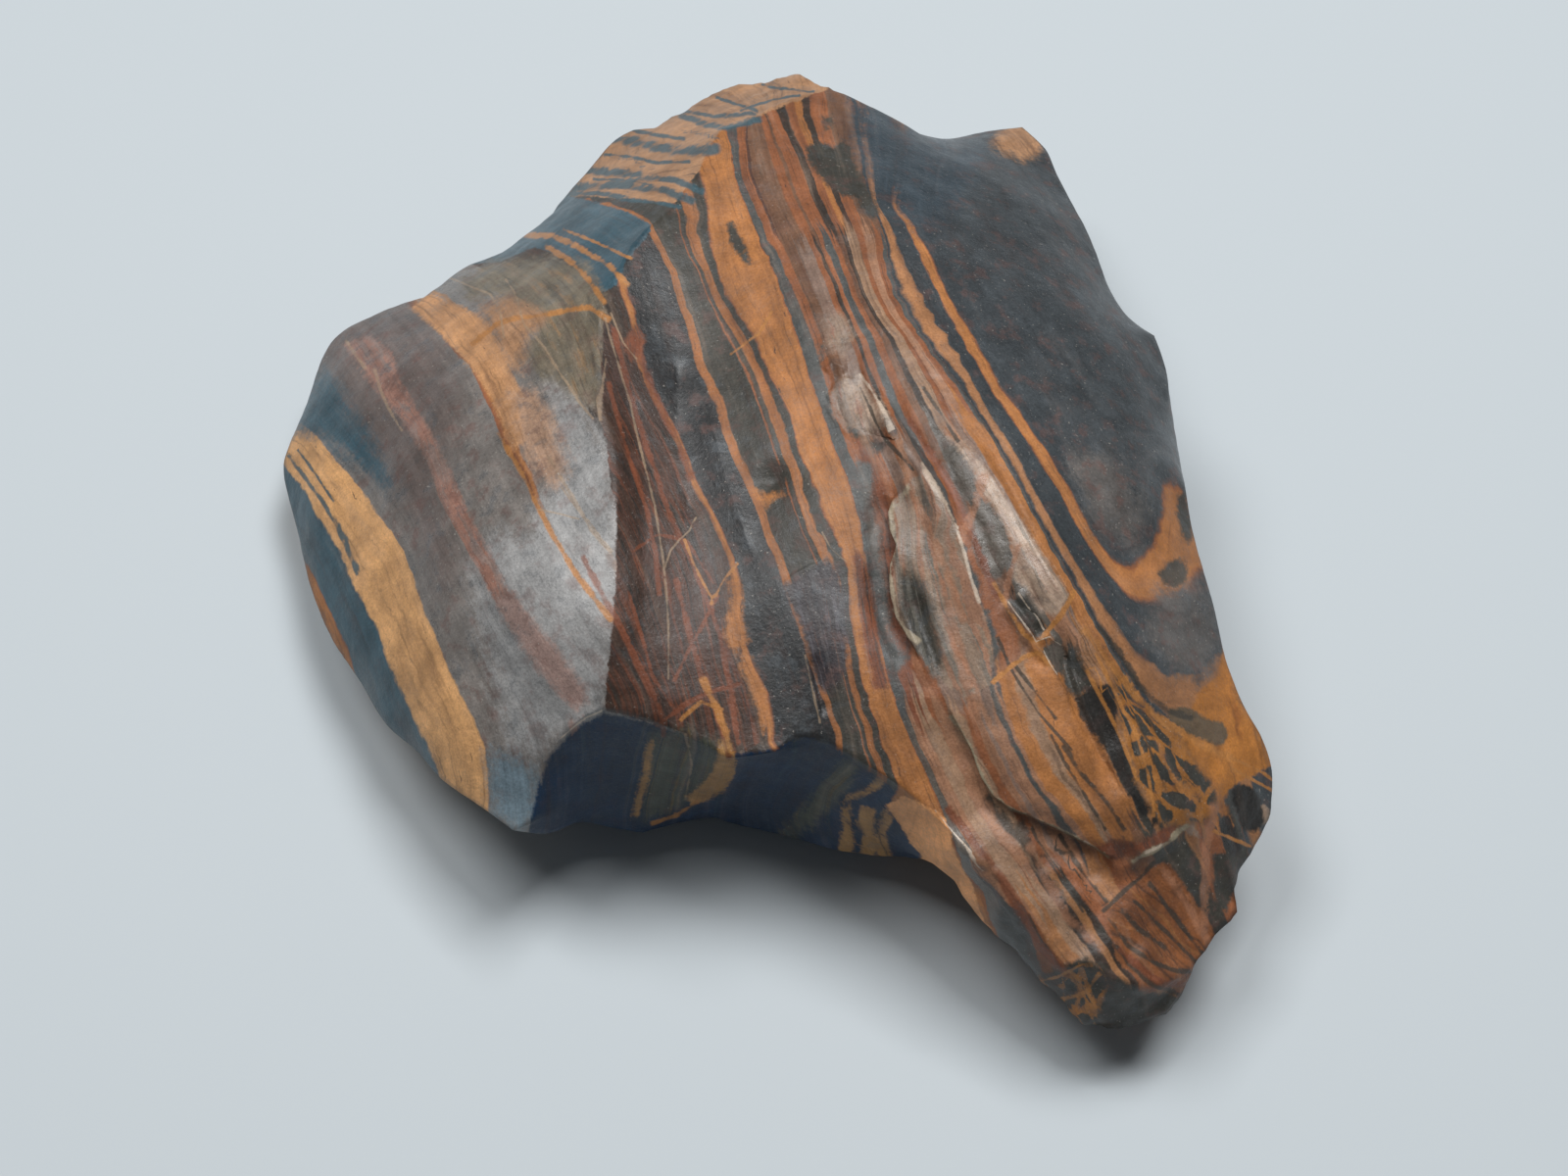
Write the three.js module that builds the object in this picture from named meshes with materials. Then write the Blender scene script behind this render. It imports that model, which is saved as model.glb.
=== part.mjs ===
// Rough tiger iron: one broken lump of banded rock, about 78 mm wide, 84 mm deep and 29 mm high.
// Millimetres, +Z up. The lump lies on a flat fracture face. Its banding stands nearly upright and runs
// from the back to the front.
//
// The skin is a patchwork of fracture faces. Every face is bounded by shared lines: ridges, crests, rims
// and the ring of the foot. A face is filled with small triangles and bowed out or scooped in, and ledges,
// pits and the ribs of the banding are then pressed into the finished skin.
import * as THREE from "three";
import { mergeVertices } from "three/addons/utils/BufferGeometryUtils.js";

// Driving dimensions.
const MESH_STEP = 1.8; // usual length of a triangle's edge
const EDGE_CLEARANCE = 0.6; // inner points keep this share of MESH_STEP from a face's edge
const LEDGE_LIP = 0.7; // width of the steep part of a ledge
const RIB_HEIGHT = 0.12; // ribs along the banding
const RIB_SPACING = 5.2;
const SWELL_HEIGHT = 0.22; // broad unevenness of the fracture faces
const SWELL_LENGTH = 13;
const ROUNDING_PASSES = 2; // softening of every line that isn't a sharp one
const ROUNDING = 0.5;
const WELD = 1e-3;

// The banding's planes: their unit normal, nearly level, pointing right.
const BANDING = new THREE.Vector3(0.918, 0.371, -0.139).normalize();

// ---- Lines -------------------------------------------------------------------------------------

// Points along a smooth curve through the given corners, about MESH_STEP apart.
function line(...corners) {
  const points = corners.map((corner) => new THREE.Vector3(...corner));
  const curve = new THREE.CatmullRomCurve3(points, false, "centripetal");
  return curve.getSpacedPoints(Math.max(1, Math.round(curve.getLength() / MESH_STEP)));
}

const reversed = (points) => [...points].reverse();

// Corners that lines share.
const peak = [-5, 38, 22.5];
const backTop = [3.5, 45, 19];
const summitBack = [5.5, 44, 19];
const knee = [-14, 18, 26];
const crown = [-13.5, 8.5, 26];
const oliveTurn = [-17, 12.5, 24.8];
const lipTurn = [-16.5, -14.5, 19];
const chin = [-13, -13, 21.5];
const brow = [-22.5, 20.5, 20];
const cheek = [-30, 29.5, 11];
const leftFar = [-41, 16, 6.5];
const leftLow = [-33, -5, 8.5];
const leftTip = [-20, -19.5, 13.5];
const frontVein = [-9, -14, 21];
const frontCorner = [-4, -16.5, 20];
const neck = [8.5, -18.5, 19.5];
const footLeft = [-11, -15.5, 4];
const footMiddle = [-5.5, -14, 3];
const footNotch = [4, -17, 4.5];
const footRight = [11, -18.5, 6.5];
const notchTop = [4.5, -16.5, 11];
const notchEnd = [7.5, -18, 15.5];
const bevelCorner = [9, -19.5, 14.5];
const bevelFoot = [11, -21, 12.5];
const bevelEnd = [20, -29.5, 12.5];
const tipLeft = [18, -28.5, 9];
const tipRight = [30.5, -28.5, 9.5];
const scallop = [36, -18.5, 11];
const eastLow = [34.5, -10.5, 14.5];
const eastMiddle = [31.5, 1, 17.5];
const eastTop = [29.5, 22, 16.5];
const eastBack = [24.5, 34.5, 15];
const hornBase = [22.5, 43.5, 13];
const hornTip = [20.5, 46.5, 12];
const hornNotch = [18.5, 42.5, 14.5];
const hornFront = [20.5, 40, 15];
const backSliver = [15.5, 46, 12];
const backLow = [8, 47.5, 8];
const backCorner = [1.5, 49, 9];
const rimBack = [-10, 50.5, 8.5];
const rimMiddle = [-18, 43, 8.5];
const rimFront = [-24, 35.5, 9];

// Sharp lines keep their edge. The ridge parts the glossy left face from the top.
const ridgeBack = line(peak, [-6.5, 33.5, 23.5], [-9, 28.5, 24.5], [-11.5, 25, 25], [-13, 21, 25.5], knee);
const ridgeMiddle = line(knee, [-14, 12.5, 26], crown);
const ridgeFront = line(crown, [-12.5, 5, 26], [-12.5, -2.5, 25.5], [-12.5, -9, 24], chin);
const backRidge = line(peak, [-1, 41.5, 21], backTop);
const shoulder = line(brow, [-18, 19.5, 23.5], knee);
const leftLip = line(leftTip, [-18.5, -19, 14], [-18, -16.5, 16], lipTurn);
const chinLip = line(lipTurn, [-14.8, -13.6, 20.4], chin);
const crestLeft = line(chin, frontVein);
const crestVein = line(frontVein, [-6.5, -15, 20.5], frontCorner);
const crestRight = line(
  frontCorner, [-0.5, -16, 20.5], [1.5, -15, 21], [4, -16, 20.5], [6.5, -17.5, 20], neck,
);
const bevelTop = line(
  neck, [11, -20.5, 18.5], [13, -22.5, 17.5], [15.5, -24, 16.5], [17.5, -26.5, 15], bevelEnd,
);
const tipTop = line(bevelEnd, [22, -29.5, 13], [24.5, -30.5, 12], [28, -30, 10.5], tipRight);
const tipBottom = line(
  tipLeft, [20.5, -31, 8], [23, -32.5, 7], [25, -32.5, 7], [27.5, -31.5, 7], [29.5, -30, 7.5], tipRight,
);
const scallops = line(
  tipRight, [32, -26, 10], [33.5, -24.5, 10], [33.5, -22.5, 10.5], [34.5, -20.5, 10.5], scallop,
);
const backEdge = line(summitBack, [8.5, 43, 18], [13, 42, 16], [16.5, 42, 15], hornNotch);
const backStart = line(backTop, summitBack);
const hornLeft = line(hornNotch, hornTip);
const hornRight = line(hornTip, hornBase);
const notchRoof = line(notchTop, notchEnd);
const notchSide = line(notchEnd, bevelCorner, bevelFoot);
const neckSide = line(neck, notchEnd);
const bevelBottom = line(bevelFoot, [14.5, -25.5, 11], tipLeft);
const bevelTip = line(tipLeft, bevelEnd);

// Soft lines are rounded over.
const cheekFold = line(cheek, [-26, 24, 16.5], brow);
const oliveFold = line(brow, oliveTurn);
const oliveEnd = line(oliveTurn, crown);
const shelf = line(oliveTurn, [-18, 6, 25], [-18.3, -1.5, 24.6], [-17.7, -8.5, 23.4], lipTurn);
const rollOff = line(
  cheek, [-33.5, 25.5, 12], [-36, 21, 11.5], [-36, 15, 12], [-34, 7.5, 12.5], [-31.5, 0, 13.5],
  [-28, -7.5, 14.5], [-24.5, -13.5, 15.5], leftTip,
);
const trough = line(
  peak, [-6, 30, 23.6], [-8, 17, 23.5], [-7.5, 7, 23.4], [-6.5, -3, 23.2], [-6.5, -10, 22.3], frontCorner,
);
const summit = line(
  summitBack, [6, 30, 24.5], [7.5, 16, 27.7], [11, 8, 28.7], [14, 3, 29], [16.5, -1, 28.7],
  [18.5, -5, 28], [21.5, -9.5, 26.2], [24, -14, 23.5], [28, -19, 18.5], scallop,
);
const eastShoulder = line(
  hornNotch, [19, 35, 18], [22, 25.5, 20.5], [25, 17.5, 21.5], [27, 9.5, 21.8], [27.5, 2, 21.8],
  [28.5, -4.5, 20.8], [30, -10, 18.8], [32.5, -14.5, 16], scallop,
);
const hornFold = line(hornNotch, hornFront);
const hornEdge = line(hornFront, hornBase);

// Rims, where the visible faces turn under.
const leftRimBack = line(cheek, [-34, 29.5, 9], [-38, 27.5, 7.5], [-40, 22, 6.5], leftFar);
const leftRimMiddle = line(leftFar, [-40, 10.5, 6.5], [-36.5, 1, 7.5], leftLow);
const leftRimFront = line(leftLow, [-30, -9.5, 9.5], [-27, -13, 11], [-23.5, -16.5, 12.5], leftTip);
const underLip = line(leftTip, [-17.5, -18, 10], [-15, -15.5, 6.5], footLeft);
const footVein = line(footLeft, footMiddle);
const footFront = line(footMiddle, [-1, -15.5, 3.5], footNotch);
const footStripes = line(footNotch, [8.5, -18, 5], footRight);
const eastRimFront = line(scallop, [36.5, -15.5, 12], [36, -13, 13], eastLow);
const eastRimMiddle = line(eastLow, [33.5, -7.5, 15.5], [32.5, -4, 16.5], eastMiddle);
const eastRimTop = line(eastMiddle, [31, 7, 18], [30, 12.5, 17.5], [30.5, 17, 17], eastTop);
const eastRimBack = line(eastTop, [28, 23.5, 16.5], [26, 28, 16], eastBack);
const eastRimHorn = line(eastBack, [23, 40, 14], hornBase);
const sliverRim = line(hornTip, backSliver);
const backRim = line(backSliver, backLow);
const backRimLeft = line(backLow, backCorner);
const backRise = line(backCorner, backTop);
const sideRimBack = line(backTop, [1.5, 47.5, 17], [-1, 50, 14], [-4, 50.5, 12.5], [-7, 51, 10], rimBack);
const sideRimMiddle = line(rimBack, [-11, 49.2, 8.5], [-13.5, 48.7, 8.5], [-16, 46, 8.5], rimMiddle);
const sideRimFront = line(rimMiddle, [-20.5, 39, 9], rimFront);
const sideRimCheek = line(rimFront, [-27.5, 32.5, 10], cheek);

// Folds that run down the front.
const veinDown = line(frontVein, [-10, -14, 12], footLeft);
const cornerDown = line(frontCorner, [-4, -15, 13], footMiddle);
const notchDown = line(notchTop, footNotch);
const notchBack = line(footRight, bevelFoot);

// The underside: a waist a few millimetres up, counter-clockwise from the left, and the flat foot.
const waist = [
  [-28.5, 29.5, 3], [-36, 23.5, 2.5], [-37.5, 13, 2.2], [-33, 0, 2.8], [-24.5, -11, 4.5], [13, -19, 5],
  [19, -26.5, 3.8], [28, -28, 4], [32.5, -19.5, 5], [33.5, -10, 7], [31, 2, 9.5], [30.5, 13, 9.5],
  [28, 24, 8.5], [23.5, 37, 6.5], [18, 44.5, 5.5], [8, 46, 4.5], [0, 48, 4.5], [-8.5, 49, 4],
  [-16.5, 43.5, 3.5], [-23.5, 35, 3],
];
const foot = [
  [-21, 17], [-21, 4], [-14, -6], [-6, -10], [4, -12], [13, -14], [20, -16], [24, -8], [23, 6], [21, 20],
  [15, 32], [4, 37], [-8, 34], [-17, 27],
].map(([x, y]) => [x, y, 0]);

// ---- Faces -------------------------------------------------------------------------------------

// A face is its bow, in millimetres outwards at the middle, and the lines round it, counter-clockwise as
// seen from outside.
const topFaces = [
  [0.6, ridgeBack, ridgeMiddle, ridgeFront, crestLeft, crestVein, reversed(trough)],
  [1.2, trough, crestRight, bevelTop, tipTop, scallops, reversed(summit), reversed(backStart),
    reversed(backRidge)],
  [0.8, summit, reversed(eastShoulder), reversed(backEdge)],
  [0.4, eastShoulder, eastRimFront, eastRimMiddle, eastRimTop, eastRimBack, eastRimHorn,
    reversed(hornEdge), reversed(hornFold)],
];
const sideFaces = [
  [1.8, rollOff, leftLip, reversed(shelf), reversed(oliveFold), reversed(cheekFold)],
  [0.3, shelf, chinLip, reversed(ridgeFront), reversed(oliveEnd)],
  [0.3, oliveFold, oliveEnd, reversed(ridgeMiddle), reversed(shoulder)],
  [0.8, leftRimBack, leftRimMiddle, leftRimFront, reversed(rollOff)],
  [0.6, cheekFold, shoulder, reversed(ridgeBack), backRidge, sideRimBack, sideRimMiddle, sideRimFront,
    sideRimCheek],
  [0.1, hornFold, hornEdge, reversed(hornRight), reversed(hornLeft)],
  [-0.8, hornLeft, sliverRim, backRim, backRimLeft, backRise, backStart, backEdge],
  [-0.5, underLip, reversed(veinDown), reversed(crestLeft), reversed(chinLip), reversed(leftLip)],
  [0.8, footVein, reversed(cornerDown), reversed(crestVein), veinDown],
  [-1.3, footFront, reversed(notchDown), notchRoof, reversed(neckSide), reversed(crestRight), cornerDown],
  [0.4, footStripes, notchBack, reversed(notchSide), reversed(notchRoof), notchDown],
  [0.5, neckSide, notchSide, bevelBottom, bevelTip, reversed(bevelTop)],
  [0.5, tipBottom, reversed(tipTop), reversed(bevelTip)],
];

// A face between a lower chain of corners and upper lines, both from left to right as seen from outside.
function apron(bow, lower, ...upper) {
  const steps = lower.slice(1).map((corner, i) => line(lower[i], corner));
  const rise = line(lower.at(-1), upper.at(-1).at(-1));
  const fall = line(upper[0][0], lower[0]);
  return [bow, ...steps, rise, ...upper.map(reversed).reverse(), fall];
}

const waistLine = (from, to) => line(waist[from], waist[to]);

const underFaces = [
  apron(1, waist.slice(0, 3), leftRimBack),
  apron(0.8, waist.slice(2, 4), leftRimMiddle),
  apron(0.8, waist.slice(3, 5), leftRimFront),
  [0.3, line(waist[4], footLeft), reversed(underLip), line(leftTip, waist[4])],
  [-0.8, line(footRight, waist[5]), waistLine(5, 6), line(waist[6], tipLeft), reversed(bevelBottom),
    reversed(notchBack)],
  apron(0.5, waist.slice(6, 8), tipBottom),
  apron(-0.6, waist.slice(7, 9), scallops),
  apron(0.6, waist.slice(8, 10), eastRimFront),
  apron(0.8, waist.slice(9, 11), eastRimMiddle),
  apron(1, waist.slice(10, 13), eastRimTop),
  apron(-0.6, waist.slice(12, 14), eastRimBack),
  apron(0.5, waist.slice(13, 15), eastRimHorn, reversed(hornRight)),
  apron(-0.5, waist.slice(14, 16), sliverRim, backRim),
  apron(0.4, waist.slice(15, 17), backRimLeft),
  apron(0.8, waist.slice(16, 18), backRise, sideRimBack),
  apron(-0.5, waist.slice(17, 19), sideRimMiddle),
  apron(0.5, waist.slice(18, 20), sideRimFront),
  apron(0.3, [waist[19], waist[0]], sideRimCheek),
  apron(0.4, [foot[13], foot[0]], waistLine(0, 1), waistLine(1, 2)),
  apron(0.5, [foot[0], foot[1]], waistLine(2, 3)),
  apron(0.5, [foot[1], foot[2]], waistLine(3, 4)),
  apron(0.3, [foot[2], foot[3]], line(waist[4], footLeft), footVein),
  apron(0.3, [foot[3], foot[4]], footFront),
  apron(0.3, [foot[4], foot[5]], footStripes, line(footRight, waist[5])),
  apron(0.4, [foot[5], foot[6]], waistLine(5, 6)),
  apron(-0.4, [foot[6], foot[7]], waistLine(6, 7), waistLine(7, 8)),
  apron(0.9, [foot[7], foot[8]], waistLine(8, 9), waistLine(9, 10)),
  apron(0.6, [foot[8], foot[9]], waistLine(10, 11), waistLine(11, 12)),
  apron(0.8, [foot[9], foot[10]], waistLine(12, 13), waistLine(13, 14)),
  apron(-0.3, [foot[10], foot[11]], waistLine(14, 15), waistLine(15, 16)),
  apron(0.4, [foot[11], foot[12]], waistLine(16, 17), waistLine(17, 18)),
  apron(0.4, [foot[12], foot[13]], waistLine(18, 19), waistLine(19, 0)),
];
const footRing = [...foot].reverse();
const footFace = [0, ...footRing.map((corner, i) => line(corner, footRing[(i + 1) % footRing.length]))];

// ---- Ledges and pits on the top -----------------------------------------------------------------

// A ledge's lip is a path seen from above. The rock drops on the left of the path as it is walked, and
// comes back to the face within the reach.
const ledges = [
  { drop: 1, reach: 4.5, path: [[5.5, 16], [6, 11], [8, 6.5], [10.5, 2.5], [12, -1], [13, -3.5], [14, -6.5],
    [15, -9.5]] },
  { drop: 1.7, reach: 3.5, path: [[10.5, -11.5], [9, -9], [7.5, -5.5], [8, -3], [7.5, -0.5], [8.5, 2]] },
  { drop: 0.8, reach: 3, path: [[2.5, 11.5], [4, 7], [7.5, 5]] },
  { drop: 1.6, reach: 6, path: [[16, -7.5], [18, -9.5], [20.5, -12.5], [21.5, -15], [23.5, -17.5]] },
  { drop: 1.4, reach: 6, path: [[30.5, -18], [28.5, -20], [27, -22], [24.5, -23], [23, -22.5], [21, -21.5],
    [18, -20.5], [15.5, -19.5], [14, -18.5], [13, -15.5], [11.5, -12.5]] },
  { drop: 0.6, reach: 3, path: [[4, -3.5], [2, -3.5], [0, -4.5]] },
  { drop: 0.5, reach: 2.5, path: [[-9.5, -14], [-8.5, -12.5], [-6, -11.5]] },
];
// Round pits, or low humps where the depth is negative: the middle, the radius and the depth.
const pits = [
  { middle: [-0.5, 4], radius: 1.6, depth: 0.8 },
  { middle: [2.5, 13.5], radius: 2.2, depth: 0.7 },
  { middle: [29.5, -19], radius: 1.8, depth: 0.9 },
  { middle: [-4, 2], radius: 3, depth: -0.5 },
  { middle: [3, -10], radius: 2, depth: -0.4 },
];

// ---- Filling a face with triangles --------------------------------------------------------------

const TOP_VIEW = {
  right: new THREE.Vector3(1, 0, 0),
  up: new THREE.Vector3(0, 1, 0),
  out: new THREE.Vector3(0, 0, 1),
};

// The plane that a rim lies round: its outward normal by Newell's sum, and two axes in the plane.
function viewOf(rim) {
  const out = new THREE.Vector3();
  rim.forEach((point, i) => out.add(new THREE.Vector3().crossVectors(point, rim[(i + 1) % rim.length])));
  out.normalize();
  const right = new THREE.Vector3(0.31, 0.17, 0.93).cross(out).normalize();
  return { right, up: new THREE.Vector3().crossVectors(out, right), out };
}

const side = (a, b, c) => (b.x - a.x) * (c.y - a.y) - (b.y - a.y) * (c.x - a.x);

function distanceToSegment(point, a, b) {
  const along = new THREE.Vector2().subVectors(b, a);
  const share = THREE.MathUtils.clamp(point.clone().sub(a).dot(along) / along.lengthSq(), 0, 1);
  return point.distanceTo(along.multiplyScalar(share).add(a));
}

function isInside(point, ring) {
  let inside = false;
  ring.forEach((a, i) => {
    const b = ring[(i + 1) % ring.length];
    const crosses = a.y > point.y !== b.y > point.y;
    const crossing = a.x + ((point.y - a.y) / (b.y - a.y)) * (b.x - a.x);
    if (crosses && point.x < crossing) inside = !inside;
  });
  return inside;
}

// Turns the shared edge of two triangles wherever that makes them less pointed (Delaunay's rule).
function turnEdges(points, triangles) {
  const angleAt = (tip, a, b) => {
    const toA = points[a].clone().sub(points[tip]);
    const toB = points[b].clone().sub(points[tip]);
    return Math.acos(THREE.MathUtils.clamp(toA.dot(toB) / (toA.length() * toB.length()), -1, 1));
  };
  for (let turned = true; turned; ) {
    turned = false;
    const waiting = new Map();
    const changed = new Set();
    for (let t = 0; t < triangles.length; t += 1) {
      for (let k = 0; k < 3 && !changed.has(t); k += 1) {
        const [a, b, c] = [0, 1, 2].map((step) => triangles[t][(k + step) % 3]);
        const twin = waiting.get(`${b} ${a}`);
        if (!twin || changed.has(twin.t)) {
          waiting.set(`${a} ${b}`, { t, tip: c });
          continue;
        }
        if (angleAt(c, a, b) + angleAt(twin.tip, a, b) > Math.PI + 1e-6) {
          triangles[t] = [a, twin.tip, c];
          triangles[twin.t] = [twin.tip, b, c];
          changed.add(t).add(twin.t);
          turned = true;
        }
      }
    }
  }
}

// Adds a point by splitting the triangle that it lies in.
function insert(points, triangles, point) {
  const t = triangles.findIndex(([a, b, c]) =>
    side(points[a], points[b], point) > 0 &&
    side(points[b], points[c], point) > 0 &&
    side(points[c], points[a], point) > 0);
  if (t < 0) return;
  const [a, b, c] = triangles[t];
  const added = points.push(point) - 1;
  triangles[t] = [a, b, added];
  triangles.push([b, c, added], [c, a, added]);
}

// Inner heights that stretch like a skin over the rim, with the bow added.
function settle(points, triangles, rimHeights, bow) {
  const neighbours = points.map(() => new Set());
  triangles.forEach(([a, b, c]) => {
    neighbours[a].add(b).add(c);
    neighbours[b].add(c).add(a);
    neighbours[c].add(a).add(b);
  });
  const relax = (start, push) => {
    const heights = points.map((_, i) => start[i] ?? 0);
    for (let round = 0; round < 400; round += 1) {
      for (let i = rimHeights.length; i < points.length; i += 1) {
        const near = [...neighbours[i]];
        heights[i] = push + near.reduce((sum, n) => sum + heights[n], 0) / near.length;
      }
    }
    return heights;
  };
  const skin = relax(rimHeights, 0);
  const dome = relax(rimHeights.map(() => 0), 1);
  const top = Math.max(...dome, 1);
  return skin.map((height, i) => height + (bow * dome[i]) / top);
}

// The triangles of one face, as a flat list of Vector3 corners.
function fill([bow, ...lines], { view, spacing = MESH_STEP, extra = [] } = {}) {
  const rim = lines.flatMap((points) => points.slice(0, -1));
  const { right, up, out } = view ?? viewOf(rim);
  const points = rim.map((point) => new THREE.Vector2(point.dot(right), point.dot(up)));
  const ring = [...points];
  const triangles = THREE.ShapeUtils.triangulateShape([...points], []);
  const clear = (point, distance) =>
    isInside(point, ring) &&
    ring.every((a, i) => distanceToSegment(point, a, ring[(i + 1) % ring.length]) > distance);
  const fixed = extra.filter((point) => clear(point, 0.3 * MESH_STEP));
  fixed.forEach((point) => insert(points, triangles, point));
  const box = new THREE.Box2().setFromPoints(ring);
  const rowHeight = spacing * Math.sin(Math.PI / 3);
  for (let row = 0; box.min.y + row * rowHeight < box.max.y; row += 1) {
    for (let x = box.min.x + (row % 2) * 0.5 * spacing; x < box.max.x; x += spacing) {
      const point = new THREE.Vector2(x + 0.013, box.min.y + row * rowHeight + 0.017);
      const crowded = fixed.some((other) => other.distanceTo(point) < EDGE_CLEARANCE * MESH_STEP);
      if (!crowded && clear(point, EDGE_CLEARANCE * spacing)) insert(points, triangles, point);
    }
  }
  turnEdges(points, triangles);
  const heights = settle(points, triangles, rim.map((point) => point.dot(out)), bow);
  const lifted = points.map((point, i) => {
    const inPlane = right.clone().multiplyScalar(point.x).addScaledVector(up, point.y);
    return inPlane.addScaledVector(out, heights[i]);
  });
  return triangles.flatMap((corners) => corners.map((i) => rim[i] ?? lifted[i]));
}

// Points along a ledge's lip and along the bottom of its steep part, for the top's triangles to follow.
function ledgePoints({ path }) {
  const curve = new THREE.SplineCurve(path.map(([x, y]) => new THREE.Vector2(x, y)));
  const count = Math.round(curve.getLength() / MESH_STEP);
  return curve.getSpacedPoints(count).flatMap((lip, i) => {
    const along = curve.getTangentAt(i / count);
    return [lip, new THREE.Vector2(lip.x - along.y * LEDGE_LIP, lip.y + along.x * LEDGE_LIP)];
  });
}

// ---- Relief ------------------------------------------------------------------------------------

// How far a ledge lowers the top at x, y. It fades towards both ends of the path.
function ledgeDrop({ drop, reach, path }, x, y) {
  const corners = path.map((corner) => new THREE.Vector2(...corner));
  const point = new THREE.Vector2(x, y);
  let nearest = { distance: Infinity };
  corners.slice(1).forEach((b, i) => {
    const a = corners[i];
    const distance = distanceToSegment(point, a, b);
    if (distance < nearest.distance) {
      const share = point.clone().sub(a).dot(b.clone().sub(a)) / a.distanceToSquared(b);
      nearest = { distance, left: side(a, b, point) > 0, at: (i + share) / (corners.length - 1) };
    }
  });
  if (!nearest.left || nearest.distance > reach) return 0;
  const taper = Math.sqrt(Math.max(0, 4 * nearest.at * (1 - nearest.at)));
  const lip = Math.min(1, nearest.distance / LEDGE_LIP);
  return drop * taper * lip * (1 - nearest.distance / reach) ** 2;
}

function pitDepth({ middle, radius, depth }, x, y) {
  const share = Math.hypot(x - middle[0], y - middle[1]) / radius;
  return share < 1 ? depth * (1 - share ** 2) ** 2 : 0;
}

// Ribs along the banding and the broad swell of the broken faces.
function unevenness({ x, y, z }) {
  const across = new THREE.Vector3(x, y, z).dot(BANDING);
  const drift = Math.sin(y / 11 + z / 7) + 0.6 * Math.sin(x / 9 - z / 5 + 2);
  const strength = 0.6 + 0.4 * Math.sin(y / 6 + 1);
  const ribs = strength * Math.sin((2 * Math.PI * across) / RIB_SPACING + 1.3 * drift);
  const turn = (2 * Math.PI) / SWELL_LENGTH;
  const swell =
    Math.sin(turn * (x + 0.4 * z) + 1.1) * Math.sin(turn * (y - 0.3 * x) + 0.4) +
    0.5 * Math.sin(turn * 1.9 * (z - 0.5 * y) + 2.3);
  return RIB_HEIGHT * ribs + SWELL_HEIGHT * swell;
}

// ---- The stone ---------------------------------------------------------------------------------

function weld(corners) {
  const loose = new THREE.BufferGeometry().setFromPoints(corners);
  return mergeVertices(loose, WELD);
}

const verticesOf = ({ attributes: { position } }) =>
  Array.from({ length: position.count }, (_, i) => new THREE.Vector3().fromBufferAttribute(position, i));

// Moves every vertex that isn't held part of the way to the middle of its neighbours.
function round(geometry, held) {
  const index = geometry.index.array;
  const before = verticesOf(geometry);
  const neighbours = before.map(() => new Set());
  for (let t = 0; t < index.length; t += 3) {
    for (let k = 0; k < 3; k += 1) {
      neighbours[index[t + k]].add(index[t + ((k + 1) % 3)]);
    }
  }
  before.forEach((point, i) => {
    if (held[i]) return;
    const middle = new THREE.Vector3();
    neighbours[i].forEach((n) => middle.addScaledVector(before[n], 1 / neighbours[i].size));
    middle.lerp(point, 1 - ROUNDING);
    geometry.attributes.position.setXYZ(i, ...middle);
  });
}

const keyOf = ({ x, y, z }) => [x, y, z].map((value) => Math.round(value * 100)).join(" ");

// The lines that rounding leaves where they are.
const sharpLines = [
  ridgeBack, ridgeMiddle, ridgeFront, backRidge, shoulder, leftLip, chinLip, crestLeft, crestVein,
  crestRight, bevelTop, tipTop, tipBottom, scallops, backEdge, backStart, hornLeft, hornRight, notchRoof,
  notchSide, neckSide, bevelBottom, bevelTip, backRise, underLip, leftRimBack, leftRimMiddle,
  leftRimFront, footVein, footFront, footStripes, eastRimFront, eastRimMiddle, eastRimTop, eastRimBack,
  eastRimHorn, sliverRim, sideRimBack, sideRimMiddle, sideRimFront, sideRimCheek,
];

// Where a point of the skin goes once the unevenness, the ledges and the pits are pressed in.
function pressed(point, out) {
  const fade = THREE.MathUtils.smoothstep(point.z, 0, 4);
  const moved = point.clone().addScaledVector(out, fade * unevenness(point));
  const isTop = out.z > 0.35 && point.z > 9;
  if (isTop) {
    ledges.forEach((ledge) => (moved.z -= ledgeDrop(ledge, point.x, point.y)));
    pits.forEach((pit) => (moved.z -= pitDepth(pit, point.x, point.y)));
  }
  return moved;
}

function makeStone() {
  const lipPoints = ledges.flatMap(ledgePoints);
  const geometry = weld([
    ...topFaces.flatMap((face) => fill(face, { view: TOP_VIEW, extra: lipPoints })),
    ...[...sideFaces, ...underFaces].flatMap((face) => fill(face)),
    ...fill(footFace, { spacing: 2.2 * MESH_STEP }),
  ]);
  const sharp = new Set(sharpLines.flat().map(keyOf));
  const held = verticesOf(geometry).map((point) => point.z < WELD || sharp.has(keyOf(point)));
  for (let pass = 0; pass < ROUNDING_PASSES; pass += 1) {
    round(geometry, held);
  }
  geometry.computeVertexNormals();
  verticesOf(geometry).forEach((point, i) => {
    if (point.z < WELD) return;
    const out = new THREE.Vector3().fromBufferAttribute(geometry.attributes.normal, i);
    geometry.attributes.position.setXYZ(i, ...pressed(point, out));
  });
  geometry.computeBoundingBox();
  const { min, max } = geometry.boundingBox;
  geometry.translate(-(min.x + max.x) / 2, -(min.y + max.y) / 2, -min.z);
  geometry.computeVertexNormals();
  return geometry;
}

const stone = new THREE.Mesh(
  makeStone(),
  new THREE.MeshStandardMaterial({ color: 0x7a5038, roughness: 0.42, metalness: 0 }),
);
stone.name = "stone";

const part = new THREE.Group();
part.add(stone);

export default part;
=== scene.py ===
"""Looks of the rough tiger iron: one banded, broken lump of rock on a pale floor."""

import math

import bmesh
import bpy
import numpy as np
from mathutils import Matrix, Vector, noise
from mathutils.bvhtree import BVHTree


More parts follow.
